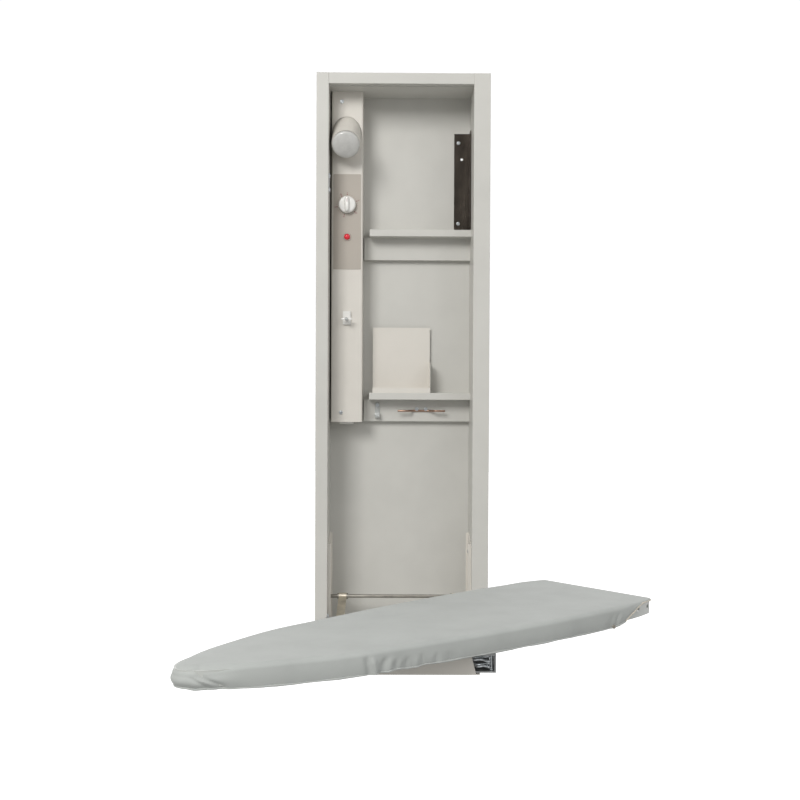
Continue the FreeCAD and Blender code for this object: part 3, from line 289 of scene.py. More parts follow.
def piece(name, verts, faces, surface, body, slot):
    """A mesh object that rides on a body and takes the surface's material; the slot argument is not used.
    """
    mesh = bpy.data.meshes.new(name)
    mesh.from_pydata([tuple(v) for v in verts], [], [tuple(f) for f in faces])
    work = bmesh.new()
    work.from_mesh(mesh)
    bmesh.ops.remove_doubles(work, verts=work.verts, dist=1e-5)
    bmesh.ops.recalc_face_normals(work, faces=work.faces)
    work.to_mesh(mesh)
    work.free()
    obj = bpy.data.objects.new(name, mesh)
    bpy.context.scene.collection.objects.link(obj)
    mesh.materials.append(surface.material)
    mesh.shade_smooth()
    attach(obj, body)
    return obj


def frame_on(axis):
    """Two directions square to an axis."""
    axis = axis.normalized()
    side = axis.orthogonal().normalized()
    return side, axis.cross(side)


def ring_faces(rings, sides):
    """Quads that join rings of points, each ring to the next."""
    faces = []
    for k in range(rings - 1):
        for j in range(sides):
            a, b = k * sides, (k + 1) * sides
            faces.append((a + j, a + (j + 1) % sides, b + (j + 1) % sides, b + j))
    return faces


def tube(path, radius, sides=14):
    """A round tube along points, as verts and faces, with flat ends; radius is one value or a list."""
    points = [Vector(p) for p in path]
    count = len(points)
    radii = [radius] * count if np.isscalar(radius) else list(radius)
    verts = []
    side = None
    for k, point in enumerate(points):
        ahead = points[min(k + 1, count - 1)]
        behind = points[max(k - 1, 0)]
        run = (ahead - behind).normalized()
        side = run.orthogonal() if side is None else side - run * side.dot(run)
        side.normalize()
        up = run.cross(side)
        for j in range(sides):
            a = 2 * math.pi * j / sides
            verts.append(point + (side * math.cos(a) + up * math.sin(a)) * radii[k])
    faces = ring_faces(count, sides)
    faces.append(tuple(range(sides))[::-1])
    faces.append(tuple((count - 1) * sides + j for j in range(sides)))
    return verts, faces


def lathe(origin, axis, profile, sides=48, flutes=0, flute_mm=0.0):
    """Turns (radius mm, distance mm) points about an axis; flutes ripple the outer radius."""
    side, up = frame_on(axis)
    axis = axis.normalized()
    fluted_from = 0.8 * max(r for r, _ in profile)
    verts = []
    for radius, along in profile:
        for j in range(sides):
            a = 2 * math.pi * j / sides
            ripple = flute_mm * math.cos(flutes * a) if flutes and radius > fluted_from else 0.0
            reach = (side * math.cos(a) + up * math.sin(a)) * (radius + ripple) * MM
            verts.append(origin + axis * along * MM + reach)
    return verts, ring_faces(len(profile), sides)


def rounded_run(knots, bend, steps=7):
    """A polyline whose corners are turned into smooth bends."""
    knots = [Vector(k) for k in knots]
    path = [knots[0]]
    for a, b, c in zip(knots, knots[1:], knots[2:]):
        start = b + (a - b).normalized() * min(bend, (a - b).length * 0.45)
        end = b + (c - b).normalized() * min(bend, (c - b).length * 0.45)
        for k in range(steps + 1):
            t = k / steps
            path.append(start * (1 - t) ** 2 + b * 2 * t * (1 - t) + end * t * t)
    path.append(knots[-1])
    return path


def join(*parts):
    verts = []
    faces = []
    for v, f in parts:
        shift = len(verts)
        verts += list(v)
        faces += [tuple(i + shift for i in face) for face in f]
    return verts, faces


# ---------------------------------------------------------------- board cover

BOARD_AT = Matrix.Translation(P(CENTRE_X, PIVOT_Y, ORIGIN_Z)) @ Matrix.Rotation(-BOARD_SWING, 4, "Z")
OUTLINE_N = 660
TOP_RINGS = 20
PAD_TOP = 174.4
SKIRT_DROP = 35.0
EDGE_R = 11.0
HEEL_EDGE_R = 3.6
NOSE_EDGE_R = 20.0
HEEL_CORNER = 9.0
NOSE_FLARE = 1.6
NOSE_TUCK = 4.0
CROWN = 1.3
TAPE_END = 110.0
TAPE_R = 1.5
CLOTH_THICKNESS = 1.3
CLOTH_OUT = 0.9
SKIRT_BELLY = 1.3
LUMP = 0.9
SWELL = 0.35
SWELL_LENGTH = 71.0
SWELL_WIDTH = 43.0
FOLD_EASE = 0.45
FOLD_TOP = -0.35
EDGE_STEPS = 8
SKIRT_STEPS = 12
POINT_GAP = 3.6
SPINE_FROM = 118.0
SPINE_TO = BOARD_LENGTH - 66.0
KNOT_U = 146.0
# Stretches along the board, in mm from the heel: a share is 0 at the first number, 1 at the second.
NOSE_IN = (900, 980)
HEEL_EDGE_OUT = (50, 120)
WAIST_GATHER_IN = (520, 580)
WAIST_GATHER_OUT = (760, 700)
NOSE_GATHER_IN = (900, 960)
HEEL_GATHER_IN = (40, 60)
HEEL_GATHER_OUT = (130, 80)
HEM_RIPPLE_IN = (130, 170)
HEM_TURN_IN = (110, 130)
CROWN_IN = (0, 150)
CROWN_OUT = (BOARD_LENGTH, BOARD_LENGTH - 120)
# How far the skirt hangs, in mm, at distances from the heel: the bare end, its slanted edge, the rest.
SKIRT_AT = [(44, 3.4), (58, 6.5), (108, 29.5), (140, SKIRT_DROP), (890, SKIRT_DROP), (990, 31.5)]


def board_local(v, u, z):
    """Board millimetres: v across, u from the heel, z above the cabinet's foot."""
    return Vector((v, HEEL_TO_PIVOT - u, z - ORIGIN_Z)) * MM


def catmull(points, per=24):
    pts = np.array(points, float)
    pad = np.vstack([2 * pts[0] - pts[1], pts, 2 * pts[-1] - pts[-2]])
    out = []
    for k in range(len(pts) - 1):
        p0, p1, p2, p3 = pad[k:k + 4]
        for t in np.linspace(0, 1, per, endpoint=False):
            out.append(0.5 * (2 * p1 + (p2 - p0) * t + (2 * p0 - 5 * p1 + 4 * p2 - p3) * t ** 2
                              + (3 * p1 - p0 - 3 * p2 + p3) * t ** 3))
    out.append(pts[-1])
    return np.array(out)


def resample(line, count):
    """Evenly spaced points along an open line, ends included."""
    travel = np.concatenate([[0], np.cumsum(np.hypot(*np.diff(line, axis=0).T))])
    at = np.linspace(0, travel[-1], count)
    return np.column_stack([np.interp(at, travel, line[:, k]) for k in (0, 1)])


def board_outline():
    """Evenly spaced (v, u) points round the board, alike on both sides, from the heel's middle."""
    left = [(-v, u) for v, u in reversed(BOARD_SIDE)]
    curve = catmull(BOARD_SIDE + [(0, BOARD_LENGTH)] + left)
    half = curve[curve[:, 0] >= -1e-9]
    corner = half[0]
    start = corner - np.array([HEEL_CORNER, 0])
    end = half[np.argmax(half[:, 1] > HEEL_CORNER)]
    bend = [start * (1 - t) ** 2 + corner * 2 * t * (1 - t) + end * t * t
            for t in np.linspace(0, 1, 9)]
    side = half[half[:, 1] > HEEL_CORNER]
    path = np.vstack([[(0.0, 0.0)], bend, side])
    right = resample(path, OUTLINE_N // 2 + 1)
    right[-1] = (0, BOARD_LENGTH)
    mirror = right[-2:0:-1] * np.array([-1, 1])
    return np.vstack([right, mirror])


# Folds in the skirt: u at the hem, u at the top, side, half-width, depth, and where each starts.
# side 1 is the near side, -1 the far one. Negative depth is a valley.
FOLDS = [
    (949, 979, 1, 4.5, -4.5, -0.55), (958, 986, 1, 6.0, 2.4, -0.50), (968, 988, 1, 3.6, -3.0, -0.25),
    (711, 718, 1, 5.0, 5.0, -0.10), (722, 727, 1, 4.2, -5.0, -0.15), (697, 689, 1, 5.5, -3.8, 0.05),
    (684, 679, 1, 5.0, 1.8, 0.10), (672, 668, 1, 4.0, -2.2, 0.25), (663, 660, 1, 4.2, 1.8, 0.25),
    (650, 646, 1, 3.8, -2.6, 0.20), (632, 634, 1, 4.5, 1.6, 0.30), (618, 620, 1, 3.6, -2.2, 0.15),
    (603, 606, 1, 4.0, 1.4, 0.30), (588, 590, 1, 4.0, -2.0, 0.25), (560, 566, 1, 5.0, -1.4, 0.35),
    (540, 548, 1, 5.0, 1.0, 0.35), (140, 128, 1, 4.5, -1.7, 0.0), (128, 119, 1, 4.0, 1.0, 0.05),
    (158, 146, 1, 6.5, -1.3, -0.05), (180, 170, 1, 7.0, 0.9, 0.2),
    (925, 950, -1, 5.0, -3.5, -0.30), (940, 962, -1, 5.0, 2.0, -0.20), (800, 806, -1, 5.0, -2.4, 0.1),
    (640, 646, -1, 4.5, -3.0, 0.0), (628, 634, -1, 5.0, 2.2, 0.1), (470, 474, -1, 5.0, -1.8, 0.2),
    (330, 326, -1, 5.0, 1.6, 0.2), (210, 204, -1, 4.5, -2.4, 0.1), (96, 80, -1, 4.0, -2.6, 0.0),
]


def ease(at, start, end):
    """0 at start and 1 at end, with a smooth step between."""
    return smooth((at - start) / (end - start))


def ripple(at, seeds, wavelength):
    """A smooth pseudo-random wave along the outline."""
    total = np.zeros_like(at)
    for k, seed in enumerate(seeds):
        total += np.sin(at / (wavelength / (1 + 0.63 * k)) * 2 * math.pi + seed) / (1 + k)
    return total / 2


def board_cover():
    loop = board_outline()
    count = len(loop)
    step = np.roll(loop, -1, axis=0) - np.roll(loop, 1, axis=0)
    step /= np.hypot(*step.T)[:, None]
    outward = np.column_stack([step[:, 1], -step[:, 0]])
    middle = np.column_stack([np.zeros(count), np.clip(loop[:, 1], SPINE_FROM, SPINE_TO)])
    if np.sum((loop - middle) * outward) < 0:
        outward = -outward
    around = np.arange(count) * POINT_GAP
    seeds = RNG.uniform(0, 6.28, 5)
    u = loop[:, 1]
    side = np.sign(loop[:, 0])
    drop = np.interp(u, *zip(*SKIRT_AT))
    nose = ease(u, *NOSE_IN)
    edge_r = EDGE_R + (NOSE_EDGE_R - EDGE_R) * nose
    edge_r = HEEL_EDGE_R + (edge_r - HEEL_EDGE_R) * ease(u, *HEEL_EDGE_OUT)
    gather = ease(u, *WAIST_GATHER_IN) * ease(u, *WAIST_GATHER_OUT)
    gather = gather + 0.8 * ease(u, *NOSE_GATHER_IN)
    gather = gather + 0.5 * ease(u, *HEEL_GATHER_OUT) * ease(u, *HEEL_GATHER_IN)
    lumps = ripple(around, seeds, 130) * 0.8 + ripple(around, seeds[::-1], 52) * (0.25 + gather)
    drop = drop + ease(u, *HEM_RIPPLE_IN) * ripple(around, seeds, 74) * (0.3 + 1.1 * gather)

    rows = []
    right = loop[: count // 2 + 1]
    rising = np.maximum.accumulate(right[:, 1])

    def crown_at(points):
        """The top's gentle rise towards the board's middle line."""
        half = np.maximum(np.interp(points[:, 1], rising, right[:, 0]), 1.0)
        across = 1 - np.clip(points[:, 0] / half, -1, 1) ** 2
        return CROWN * across * ease(points[:, 1], *CROWN_IN) * ease(points[:, 1], *CROWN_OUT)

    def skirt_push(h):
        """Outward move of the cloth at share h of the skirt's drop; negative h is on top."""
        push = np.zeros(count)
        for hem_u, top_u, fold_side, wide, deep, start in FOLDS:
            share = float(np.clip(h, -0.6, 1))
            centre = top_u + (hem_u - top_u) * ease(share, -0.2, 1.0)
            window = ease(share, start, start + FOLD_EASE)
            shape = np.exp(-((u - centre) / wide) ** 2) * (side == fold_side)
            push += deep * shape * window
        return push

    for ring in range(TOP_RINGS):
        r = ring / TOP_RINGS
        base = middle + (loop - outward * edge_r[:, None] - middle) * r
        crown = PAD_TOP + crown_at(base)
        swell = np.sin(base[:, 1] / SWELL_LENGTH + seeds[0]) * np.sin(base[:, 0] / SWELL_WIDTH + seeds[1])
        swell = SWELL * swell
        pull = 0.35 * skirt_push(FOLD_TOP) * ease(r, 0.80, 1.0)
        rows.append(np.column_stack([base, crown + swell * (1 - r ** 4) ** 2 + pull]))
    shoulder_drop = np.minimum(edge_r * 0.72, drop - 1.0)
    for k in range(EDGE_STEPS + 1):
        a = math.pi / 2 * k / EDGE_STEPS
        push = 0.8 * skirt_push(FOLD_TOP * (1 - k / EDGE_STEPS))
        out = -edge_r * (1 - math.sin(a)) + (CLOTH_OUT + push) * math.sin(a)
        high = PAD_TOP - shoulder_drop * (1 - math.cos(a)) + push * 0.5 * math.cos(a)
        place = loop + outward * out[:, None]
        rows.append(np.column_stack([place, high + crown_at(place) * math.cos(a)]))
    shoulder = PAD_TOP - shoulder_drop
    for k in range(1, SKIRT_STEPS + 1):
        h = k / SKIRT_STEPS
        low = PAD_TOP - drop
        high = shoulder + (low - shoulder) * h
        out = CLOTH_OUT + SKIRT_BELLY * math.sin(math.pi * h) + lumps * LUMP * h
        out = out + nose * (NOSE_FLARE * math.sin(math.pi * h) - NOSE_TUCK * h ** 3)
        out = out + skirt_push(h)
        out = np.maximum(out, 0.0) + np.minimum(out, 0.0) * (0.35 + 0.3 * nose)
        rows.append(np.column_stack([loop + outward * out[:, None], high]))
    hem = rows[-1]
    fade = ease(u, *HEM_TURN_IN)[:, None]
    for inward, down in ((1.6, 1.4), (4.0, 1.9), (6.5, 1.0)):
        turned = hem.copy()
        turned[:, :2] -= outward * inward * fade
        turned[:, 2] -= down * fade[:, 0]
        rows.append(turned)

    verts = [BOARD_AT @ board_local(*p) for row in rows for p in row]
    cover = piece("board_cover_cloth", verts, ring_faces(len(rows), count), SURFACES["cover_cloth"],
                  "board", "cover_cloth")
    shell = cover.modifiers.new("thickness", "SOLIDIFY")
    shell.thickness = CLOTH_THICKNESS * MM
    shell.offset = -1
    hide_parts("board_cover", "board_pad")

    edge = [BOARD_AT @ board_local(*p) for p in hem]
    heel_part = [k for k in range(count) if u[k] < TAPE_END]
    turn = next(k for k in heel_part if k - 1 not in heel_part and k > count / 2)
    order = [(turn + k) % count for k in range(len(heel_part))]
    piece("cover_edge_tape", *tube([edge[k] for k in order], TAPE_R * MM, 10), EXTRA["cream_tape"],
          "board", "cover_cloth")
    rest = [(order[-1] + k) % count for k in range(count - len(order) + 1)]
    hem_path = [edge[k] + Vector((0, 0, -0.6 * MM)) for k in rest]
    radii = [(TAPE_R + 0.3 * math.sin(k * 0.21)) * MM for k in range(len(rest))]
    piece("cover_hem_casing", *tube(hem_path, radii, 10), SURFACES["cover_cloth"], "board",
          "cover_cloth")
    return edge, loop, outward


hem_edge, outline, outline_out = board_cover()


def draw_knot():
    """The knotted end of the hem's draw tape, tucked against the pan near the heel."""
    near_side = [k for k in range(len(outline)) if outline[k][0] >= 0]
    near = min(near_side, key=lambda k: abs(outline[k][1] - KNOT_U))
    at = hem_edge[near]
    away = (BOARD_AT.to_3x3() @ Vector((*outline_out[near], 0))).normalized()
    along = (BOARD_AT.to_3x3() @ Vector((0, -1, 0))).normalized()
    down = Vector((0, 0, -1))
    loops = []
    for turn, size in ((0.0, 3.6), (1.1, 3.0)):
        ring = []
        for k in range(17):
            a = 2 * math.pi * k / 16
            ring.append(at + away * (1.2 + 1.4 * math.sin(a + turn)) * MM
                        + along * size * math.cos(a) * MM
                        + down * (-1.0 + size * 0.7 * math.sin(a)) * MM)
        loops.append(tube(ring, 1.3 * MM, 8))
    tail = [at - along * (k * 0.9 - 1) * MM + down * (0.2 - 0.25 * k) * MM + away * 1.6 * MM
            for k in range(7)]
    loops.append(tube(tail, 1.2 * MM, 8))
    piece("draw_tape_knot", *join(*loops), EXTRA["draw_cord"], "board", "cover_cloth")


draw_knot()


# ---------------------------------------------------------------- control box details

FRONT = Vector((0, -1, 0))
KNOB_Z = 1011.0
PILOT_Z = 937.0
SWITCH_Z = 746.0
PLUNGER_TIP = 33.0


def oval_rings(origin, levels, power_x, power_z, sides):
    """Rings of points, each level (distance in front, half width, half height) in mm."""
    verts = []
    for along, half_wide, half_high in levels:
        for j in range(sides):
            a = 2 * math.pi * j / sides
            c, s = math.cos(a), math.sin(a)
            x = math.copysign(abs(c) ** power_x, c) * half_wide
            z = math.copysign(abs(s) ** power_z, s) * half_high
            verts.append(origin + FRONT * along * MM + Vector((x, 0, z)) * MM)
    return verts


def last_ring(rings, sides):
    """One face that closes the last ring."""
    return tuple((rings - 1) * sides + j for j in range(sides))


GRIP = [(10.4, 6.6, 18.6), (12.0, 5.8, 18.2), (15.5, 4.6, 17.0), (18.2, 3.6, 15.6), (18.9, 2.2, 14.0)]
GRIP_SIDES = 28
POINTER_FRONT = 19.0
POINTER_DEPTH = 0.5
POINTER = [(-0.55, 4), (0.55, 4), (0.55, 13), (-0.55, 13)]


def timer_knob():
    """A fluted knob with a raised grip across it and a printed pointer line."""
    origin = P(BOX_X, LABEL_FRONT - 0.4, KNOB_Z)
    skirt = [(0.2, 0), (17.0, 0), (19.4, 0.3), (20.0, 1.2), (19.8, 6.0), (19.0, 9.6), (17.6, 10.8),
             (15.0, 11.2), (6.0, 11.0), (0.2, 11.0)]
    body = lathe(origin, FRONT, skirt, sides=96, flutes=24, flute_mm=0.28)
    verts = oval_rings(origin, GRIP, 0.55, 0.75, GRIP_SIDES)
    faces = ring_faces(len(GRIP), GRIP_SIDES) + [last_ring(len(GRIP), GRIP_SIDES)]
    knob = piece("knob_moulding", *join(body, (verts, faces)), SURFACES["white_plastic"], "timer",
                 "white_plastic")
    knob.data.set_sharp_from_angle(angle=math.radians(48))
    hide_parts("timer_knob")
    mark = [origin + Vector((x, 0, z)) * MM + FRONT * POINTER_FRONT * MM for x, z in POINTER]
    back = [p - FRONT * POINTER_DEPTH * MM for p in mark]
    piece("knob_pointer_line", mark + back, BOX_FACES, EXTRA["dial_print"], "timer", "label_film")


timer_knob()

DIAL_ANGLES = (0, 68, 132, 196, 259, 328)
DIAL_DOT_R = 23.8
DIAL_TICKS = 4
TICK_FROM = 23.0
TICK_TO = 24.8
TICK_HALF_WIDE = 0.24
TICK_RAISED = 0.12
NUMBER_R = 28.0
NUMBER_SIZE = 4.6


def dial():
    """Dots, ticks and numbers round the timer knob, printed on the label."""
    parts = []
    centre = P(BOX_X, LABEL_FRONT, KNOB_Z)

    def at(angle, radius):
        a = math.radians(angle)
        return centre + Vector((math.sin(a), 0, math.cos(a))) * radius * MM

    for angle in DIAL_ANGLES:
        parts.append(lathe(at(angle, DIAL_DOT_R), FRONT, [(0.05, 0.16), (1.15, 0.16), (1.25, 0.0)], 16))
    for first, last in zip(DIAL_ANGLES, DIAL_ANGLES[1:]):
        for k in range(1, DIAL_TICKS + 1):
            angle = first + (last - first) * k / (DIAL_TICKS + 1)
            a, b = at(angle, TICK_FROM), at(angle, TICK_TO)
            run = (b - a).normalized()
            side = run.cross(FRONT) * TICK_HALF_WIDE * MM
            top = [a - side, a + side, b + side, b - side]
            verts = [p + FRONT * TICK_RAISED * MM for p in top] + top
            parts.append((verts, BOX_FACES))
    piece("dial_marks", *join(*parts), EXTRA["dial_print"], "cabinet", "label_film")
    for number, angle in enumerate(DIAL_ANGLES):
        text = bpy.data.curves.new(f"dial_number_{number * 10}", "FONT")
        text.body = str(number * 10)
        text.size = NUMBER_SIZE * MM
        text.extrude = 0.05 * MM
        text.align_x = "CENTER"
        text.align_y = "CENTER"
        shape = bpy.data.objects.new(text.name, text)
        bpy.context.scene.collection.objects.link(shape)
        shape.location = at(angle, NUMBER_R) + FRONT * 0.06 * MM
        shape.rotation_euler = (math.pi / 2, 0, 0)
        text.materials.append(EXTRA["dial_print"].material)
        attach(shape, "cabinet")


dial()


PILOT_R = 6.6
PILOT_DOME = 5.0


def pilot():
    """The domed red lens and the clear ring that holds it."""
    origin = P(BOX_X, LABEL_FRONT - 2.6, PILOT_Z)
    profile = [(PILOT_R, -8), (PILOT_R, 0)]
    profile += [(PILOT_R * math.cos(a), PILOT_DOME * math.sin(a)) for a in np.linspace(0.1, 1.5, 12)]
    profile.append((0.05, PILOT_DOME))
    lens = piece("pilot_dome", *lathe(origin, FRONT, profile, 40), SURFACES["red_lens"],
                 "cabinet", "red_lens")
    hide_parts("pilot_lens")
    ring = [(6.75, -6), (6.75, 0.5), (7.3, 1.5), (8.3, 1.9), (9.1, 1.3), (9.4, 0.2), (9.4, -0.6),
            (7.8, -0.6), (7.8, -6), (6.75, -6)]
    bezel = piece("pilot_ring", *lathe(P(BOX_X, LABEL_FRONT - 0.6, PILOT_Z), FRONT, ring, 48),
                  SURFACES["bezel_plastic"], "cabinet", "bezel_plastic")
    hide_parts("pilot_bezel")


pilot()


STEM_BACK = 73.0
WING = [(29.0, 12.2, 1.9), (29.5, 12.8, 2.5), (31.5, 12.8, 2.5), (32.0, 12.2, 1.9)]
WING_SIDES = 32
BALL_R = 4.0


def switch_tab():
    """The plunger: a moulded tab with a small clear ball on the end of its stem."""
    stem_from = P(BOX_X, STEM_BACK, SWITCH_Z)
    stem = [(0.05, 0), (3.9, 0), (3.9, 31.5), (3.2, 33), (2.3, 33.6), (2.1, 34.2), (2.1, 35)]
    wing = oval_rings(stem_from, WING, 0.5, 0.6, WING_SIDES)
    wing_faces = ring_faces(len(WING), WING_SIDES)
    wing_faces += [tuple(range(WING_SIDES)), last_ring(len(WING), WING_SIDES)]
    tab = piece("switch_tab", *join(lathe(stem_from, FRONT, stem, 28), (wing, wing_faces)),
                SURFACES["white_plastic"], "switch", "white_plastic")
    tab.data.set_sharp_from_angle(angle=math.radians(45))
    ball = [(BALL_R * math.cos(a), BALL_R * math.sin(a)) for a in np.linspace(-1.4, 1.4, 18)]
    ball = [(0.05, -BALL_R)] + ball + [(0.05, BALL_R)]
    piece("switch_ball", *lathe(P(BOX_X, PLUNGER_TIP + BALL_R, SWITCH_Z), FRONT, ball, 32),
          SURFACES["clear_plastic"], "switch", "clear_plastic")
    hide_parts("switch_plunger")


switch_tab()

# ---------------------------------------------------------------- lamp

LAMP_TILT = math.radians(33.0)
LAMP_AXIS = Vector((0, -math.cos(LAMP_TILT), -math.sin(LAMP_TILT)))
LAMP_START = P(BOX_X - 1.5, BOX_FRONT, 1174.5)
THREAD_R = 13.0
THREAD_ROOT_R = 12.3
THREAD_FROM = -28.0
THREAD_TURNS = 9
THREAD_PITCH = 2.3
FACE_R = 31.0
FACE_AT = 66.6
FACE_DOME = 7.6


def reflector_lamp():
    """A screw base, a flaring reflector and a domed face, turned about the lamp's axis."""
    profile = [(0.05, -30), (12.0, -30), (THREAD_R, THREAD_FROM - 0.5)]
    for k in range(THREAD_TURNS):
        crest = THREAD_FROM + THREAD_PITCH * k
        profile += [(THREAD_R, crest), (THREAD_ROOT_R, crest + 1.1)]
    profile += [(12.2, -6), (12.6, -1), (15.0, 8), (19.0, 22), (23.5, 38), (27.0, 50), (29.4, 57.5),
                (31.0, 60.6), (31.7, 62.4), (31.7, 64.6), (FACE_R, FACE_AT)]
    profile += [(FACE_R * math.cos(a), FACE_AT + FACE_DOME * math.sin(a))
                for a in np.linspace(0.1, 1.5, 16)]
    profile.append((0.05, FACE_AT + FACE_DOME))
    bulb = piece("lamp_bulb", *lathe(LAMP_START, LAMP_AXIS, profile, 72), SURFACES["frosted_glass"],
                 "cabinet", "frosted_glass")
    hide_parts("reflector_bulb")


reflector_lamp()

# ---------------------------------------------------------------- cord cleat and clip

CLEAT_Z = 533.5
CLEAT_X = 46.0
CLEAT_R = 2.4
CLEAT_END_R = 1.4


def cleat_rod():
    """A bent rod with two horns, its ends rounded down."""
    front, seat = 95.0, 110.6
    knots = [P(CLEAT_X + x, y, CLEAT_Z) for x, y in ((-56, front), (-30, front), (-21, seat),
                                                     (21, seat), (30, front), (56, front))]
    path = rounded_run(knots, 7 * MM)
    path.insert(1, path[0].lerp(path[1], 0.06))
    path.insert(-1, path[-1].lerp(path[-2], 0.06))
    radii = [CLEAT_R * MM] * len(path)
    radii[0] = radii[-1] = CLEAT_END_R * MM
    rod = piece("cleat_rod", *tube(path, radii, 18), SURFACES["copper_wire"], "cabinet",
                "copper_wire")
    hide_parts("cord_cleat")


cleat_rod()


def clip_strap():
    """A clear strap bent into an open loop, with its ends rounded."""
    seat = 113.0
    x0, half, thick = -57.8, 5.5, 1.7
    loop_z, loop_y, loop_r = 524.0, seat - 8.0, 7.1
    line = [(seat - 0.9, z) for z in (553, 549, 545, 541, 537, 533, 529)]
    for k in range(1, 17):
        a = math.radians(8 - 16.5 * k)
        line.append((loop_y + loop_r * math.cos(a), loop_z + loop_r * math.sin(a)))
    verts = []
    for k, (y, z) in enumerate(line):
        ahead = line[min(k + 1, len(line) - 1)]
        behind = line[max(k - 1, 0)]
        run = Vector((ahead[0] - behind[0], ahead[1] - behind[1])).normalized()
        away = Vector((-run.y, run.x))
        wide = half * (0.72 if k in (0, len(line) - 1) else 1.0)
        for sx, sn in ((-1, -1), (1, -1), (1, 1), (-1, 1)):
            verts.append(P(x0 + sx * wide, y + away.x * sn * thick / 2, z + away.y * sn * thick / 2))
    faces = ring_faces(len(line), 4) + [(3, 2, 1, 0), tuple(range(len(verts) - 4, len(verts)))]
    clip = piece("clip_strap", verts, faces, SURFACES["clear_plastic"], "cabinet", "clear_plastic")
    soft = clip.modifiers.new("soft_edge", "BEVEL")
    soft.width = 0.4 * MM
    soft.segments = 2
    soft.limit_method = "ANGLE"
    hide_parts("cord_clip")


clip_strap()

# ---------------------------------------------------------------- springs in the arm's rails

SPRING_LINES = [(109.5, -633.0, 2.4, 0.0), (115.8, -629.5, -2.0, 0.7), (121.5, -633.5, 2.2, 1.9),
                (127.2, -628.5, -1.6, 2.6)]
SPRING_FROM = 119.5
SPRING_REACH = 30.5
SPRING_R = 2.35
SPRING_SWAY = 2.2
SPRING_STEPS = 18


def spring_rods():
    """The spring lines in both rails, each (height, depth, bow, phase) in SPRING_LINES."""
    for side, label in ((-1, "left"), (1, "right")):
        tubes = []
        for level, y, bow, phase in SPRING_LINES:
            path = []
            for k in range(SPRING_STEPS + 1):
                t = k / SPRING_STEPS
                x = CENTRE_X + side * (SPRING_FROM + SPRING_REACH * t)
                z = level + bow * math.sin(math.pi * t + phase * 0.4)
                path.append(P(x, y + SPRING_SWAY * math.cos(2.6 * math.pi * t + phase), z))
            tubes.append(tube(path, SPRING_R * MM))
        rods = piece(f"spring_rods_{label}", *join(*tubes), SURFACES["zinc"], "arm", "zinc")
        if side > 0:
            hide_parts("fold_springs")


spring_rods()

# ---------------------------------------------------------------- studio

FLOOR_Z = -1.30
FLOOR_HALF = 14.0
FLOOR_GREY = (0.50, 0.50, 0.495)
# The floor's glow, by metres behind the cabinet's back.
FLOOR_GLOW = {"From Min": 0.3, "From Max": 0.95, "To Min": 0.0, "To Max": 0.9}
# The world's strength, by the direction's Z in the room and by its Y towards the backdrop.
ROOM = {"From Min": -0.5, "From Max": 0.8, "To Min": 0.13, "To Max": 0.66}
BACKDROP_IN = {"From Min": 0.45, "From Max": 0.80, "To Min": 0.0, "To Max": 1.0}
BACKDROP = 1.04
KEY_LIGHT = {"place": (-1.65, -3.65, 2.2), "target": (0, -0.2, 0.1), "size": 1.5, "power": 108,
             "colour": (1.0, 0.99, 0.975)}
FILL_LIGHT = {"place": (2.5, -3.3, 1.4), "target": (0, -0.3, 0.0), "size": 2.0, "power": 20,
              "colour": (1, 1, 1)}
CAMERA_AT = Vector((-0.032538, -2.743854, 0.006654))
CAMERA_YAW = math.radians(0.5971)
CAMERA_PITCH = math.radians(0.9029)
CAMERA_ROLL = math.radians(0.2578)
CAMERA_LENS = 51.757


def studio_floor():
    """A pale floor that starts to glow 0.3 m behind the cabinet, to meet the white backdrop."""
    corners = [(x * FLOOR_HALF, y * FLOOR_HALF, FLOOR_Z) for x, y in ((-1, -1), (1, -1), (1, 1), (-1, 1))]
    mesh = bpy.data.meshes.new("studio_floor")
    mesh.from_pydata(corners, [], [(0, 1, 2, 3)])
    floor = bpy.data.objects.new("studio_floor", mesh)
    bpy.context.scene.collection.objects.link(floor)
    look = Surface("studio_floor", FLOOR_GREY, 0.9)
    look.shader.inputs["Emission Color"].default_value = (1, 1, 1, 1)
    split = look.node("ShaderNodeSeparateXYZ")
    look.wire(look.place, split.inputs["Vector"])
    glow = look.node("ShaderNodeMapRange")
    for key, value in FLOOR_GLOW.items():
        glow.inputs[key].default_value = value
    look.wire(split.outputs["Y"], glow.inputs["Value"])
    look.wire(glow.outputs["Result"], look.shader.inputs["Emission Strength"])
    mesh.materials.append(look.material)


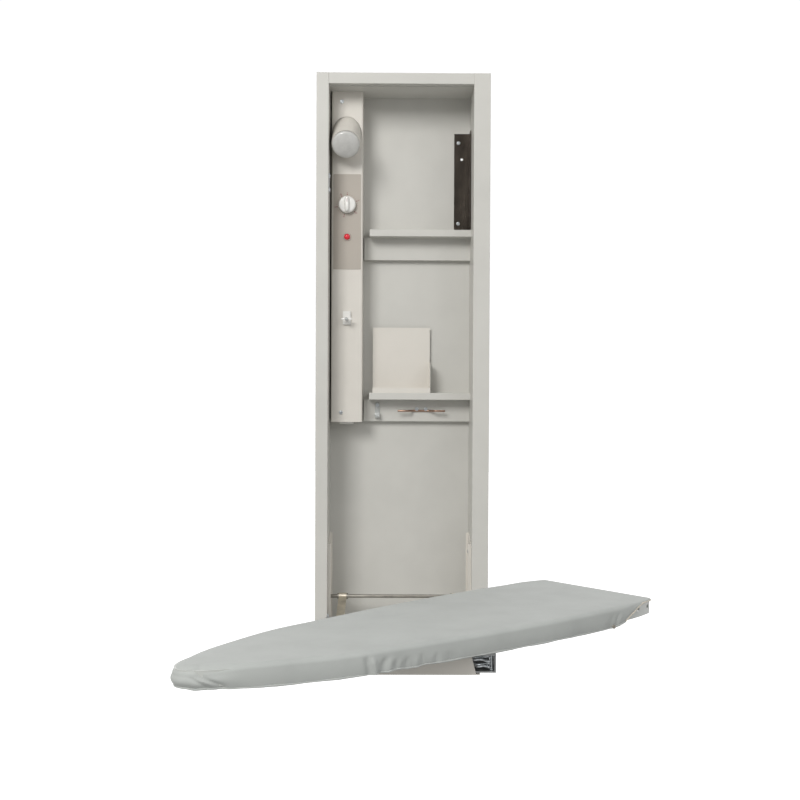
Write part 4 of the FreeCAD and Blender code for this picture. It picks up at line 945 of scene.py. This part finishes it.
def sky(world):
    """White behind the cabinet, and a soft dim room in front that is lighter overhead."""
    tree = world.node_tree
    back = tree.nodes["Background"]
    split = tree.nodes.new("ShaderNodeSeparateXYZ")
    place = tree.nodes.new("ShaderNodeTexCoord")
    tree.links.new(place.outputs["Generated"], split.inputs["Vector"])

    def spread(source, limits):
        node = tree.nodes.new("ShaderNodeMapRange")
        node.interpolation_type = "SMOOTHSTEP"
        for key, value in limits.items():
            node.inputs[key].default_value = value
        tree.links.new(source, node.inputs["Value"])
        return node.outputs["Result"]

    room = spread(split.outputs["Z"], ROOM)
    behind = spread(split.outputs["Y"], BACKDROP_IN)
    mix = tree.nodes.new("ShaderNodeMix")
    tree.links.new(behind, mix.inputs["Factor"])
    tree.links.new(room, mix.inputs["A"])
    mix.inputs["B"].default_value = BACKDROP
    tree.links.new(mix.outputs["Result"], back.inputs["Strength"])


def area_light(name, place, target, size, power, colour):
    data = bpy.data.lights.new(name, "AREA")
    data.size = size
    data.energy = power
    data.color = colour
    lamp = bpy.data.objects.new(name, data)
    lamp.location = place
    lamp.rotation_euler = (Vector(target) - Vector(place)).to_track_quat("-Z", "Y").to_euler()
    bpy.context.scene.collection.objects.link(lamp)


def studio():
    studio_floor()
    world = bpy.data.worlds.new("studio")
    world.use_nodes = True
    world.node_tree.nodes["Background"].inputs["Color"].default_value = (1, 1, 1, 1)
    sky(world)
    bpy.context.scene.world = world
    area_light("key", **KEY_LIGHT)
    area_light("fill", **FILL_LIGHT)
    bpy.context.scene.view_settings.view_transform = "Standard"


def camera():
    data = bpy.data.cameras.new("camera")
    data.lens = CAMERA_LENS
    data.sensor_width = 36.0
    ahead = Vector((math.sin(CAMERA_YAW) * math.cos(CAMERA_PITCH),
                    math.cos(CAMERA_YAW) * math.cos(CAMERA_PITCH), -math.sin(CAMERA_PITCH)))
    right = Vector((math.cos(CAMERA_YAW), -math.sin(CAMERA_YAW), 0))
    up = right.cross(ahead)
    side = right * math.cos(CAMERA_ROLL) + up * math.sin(CAMERA_ROLL)
    top = up * math.cos(CAMERA_ROLL) - right * math.sin(CAMERA_ROLL)
    turn = Matrix((side, top, -ahead)).transposed()
    eye = bpy.data.objects.new("camera", data)
    eye.matrix_world = Matrix.Translation(CAMERA_AT) @ turn.to_4x4()
    bpy.context.scene.collection.objects.link(eye)
    bpy.context.scene.camera = eye


studio()
camera()
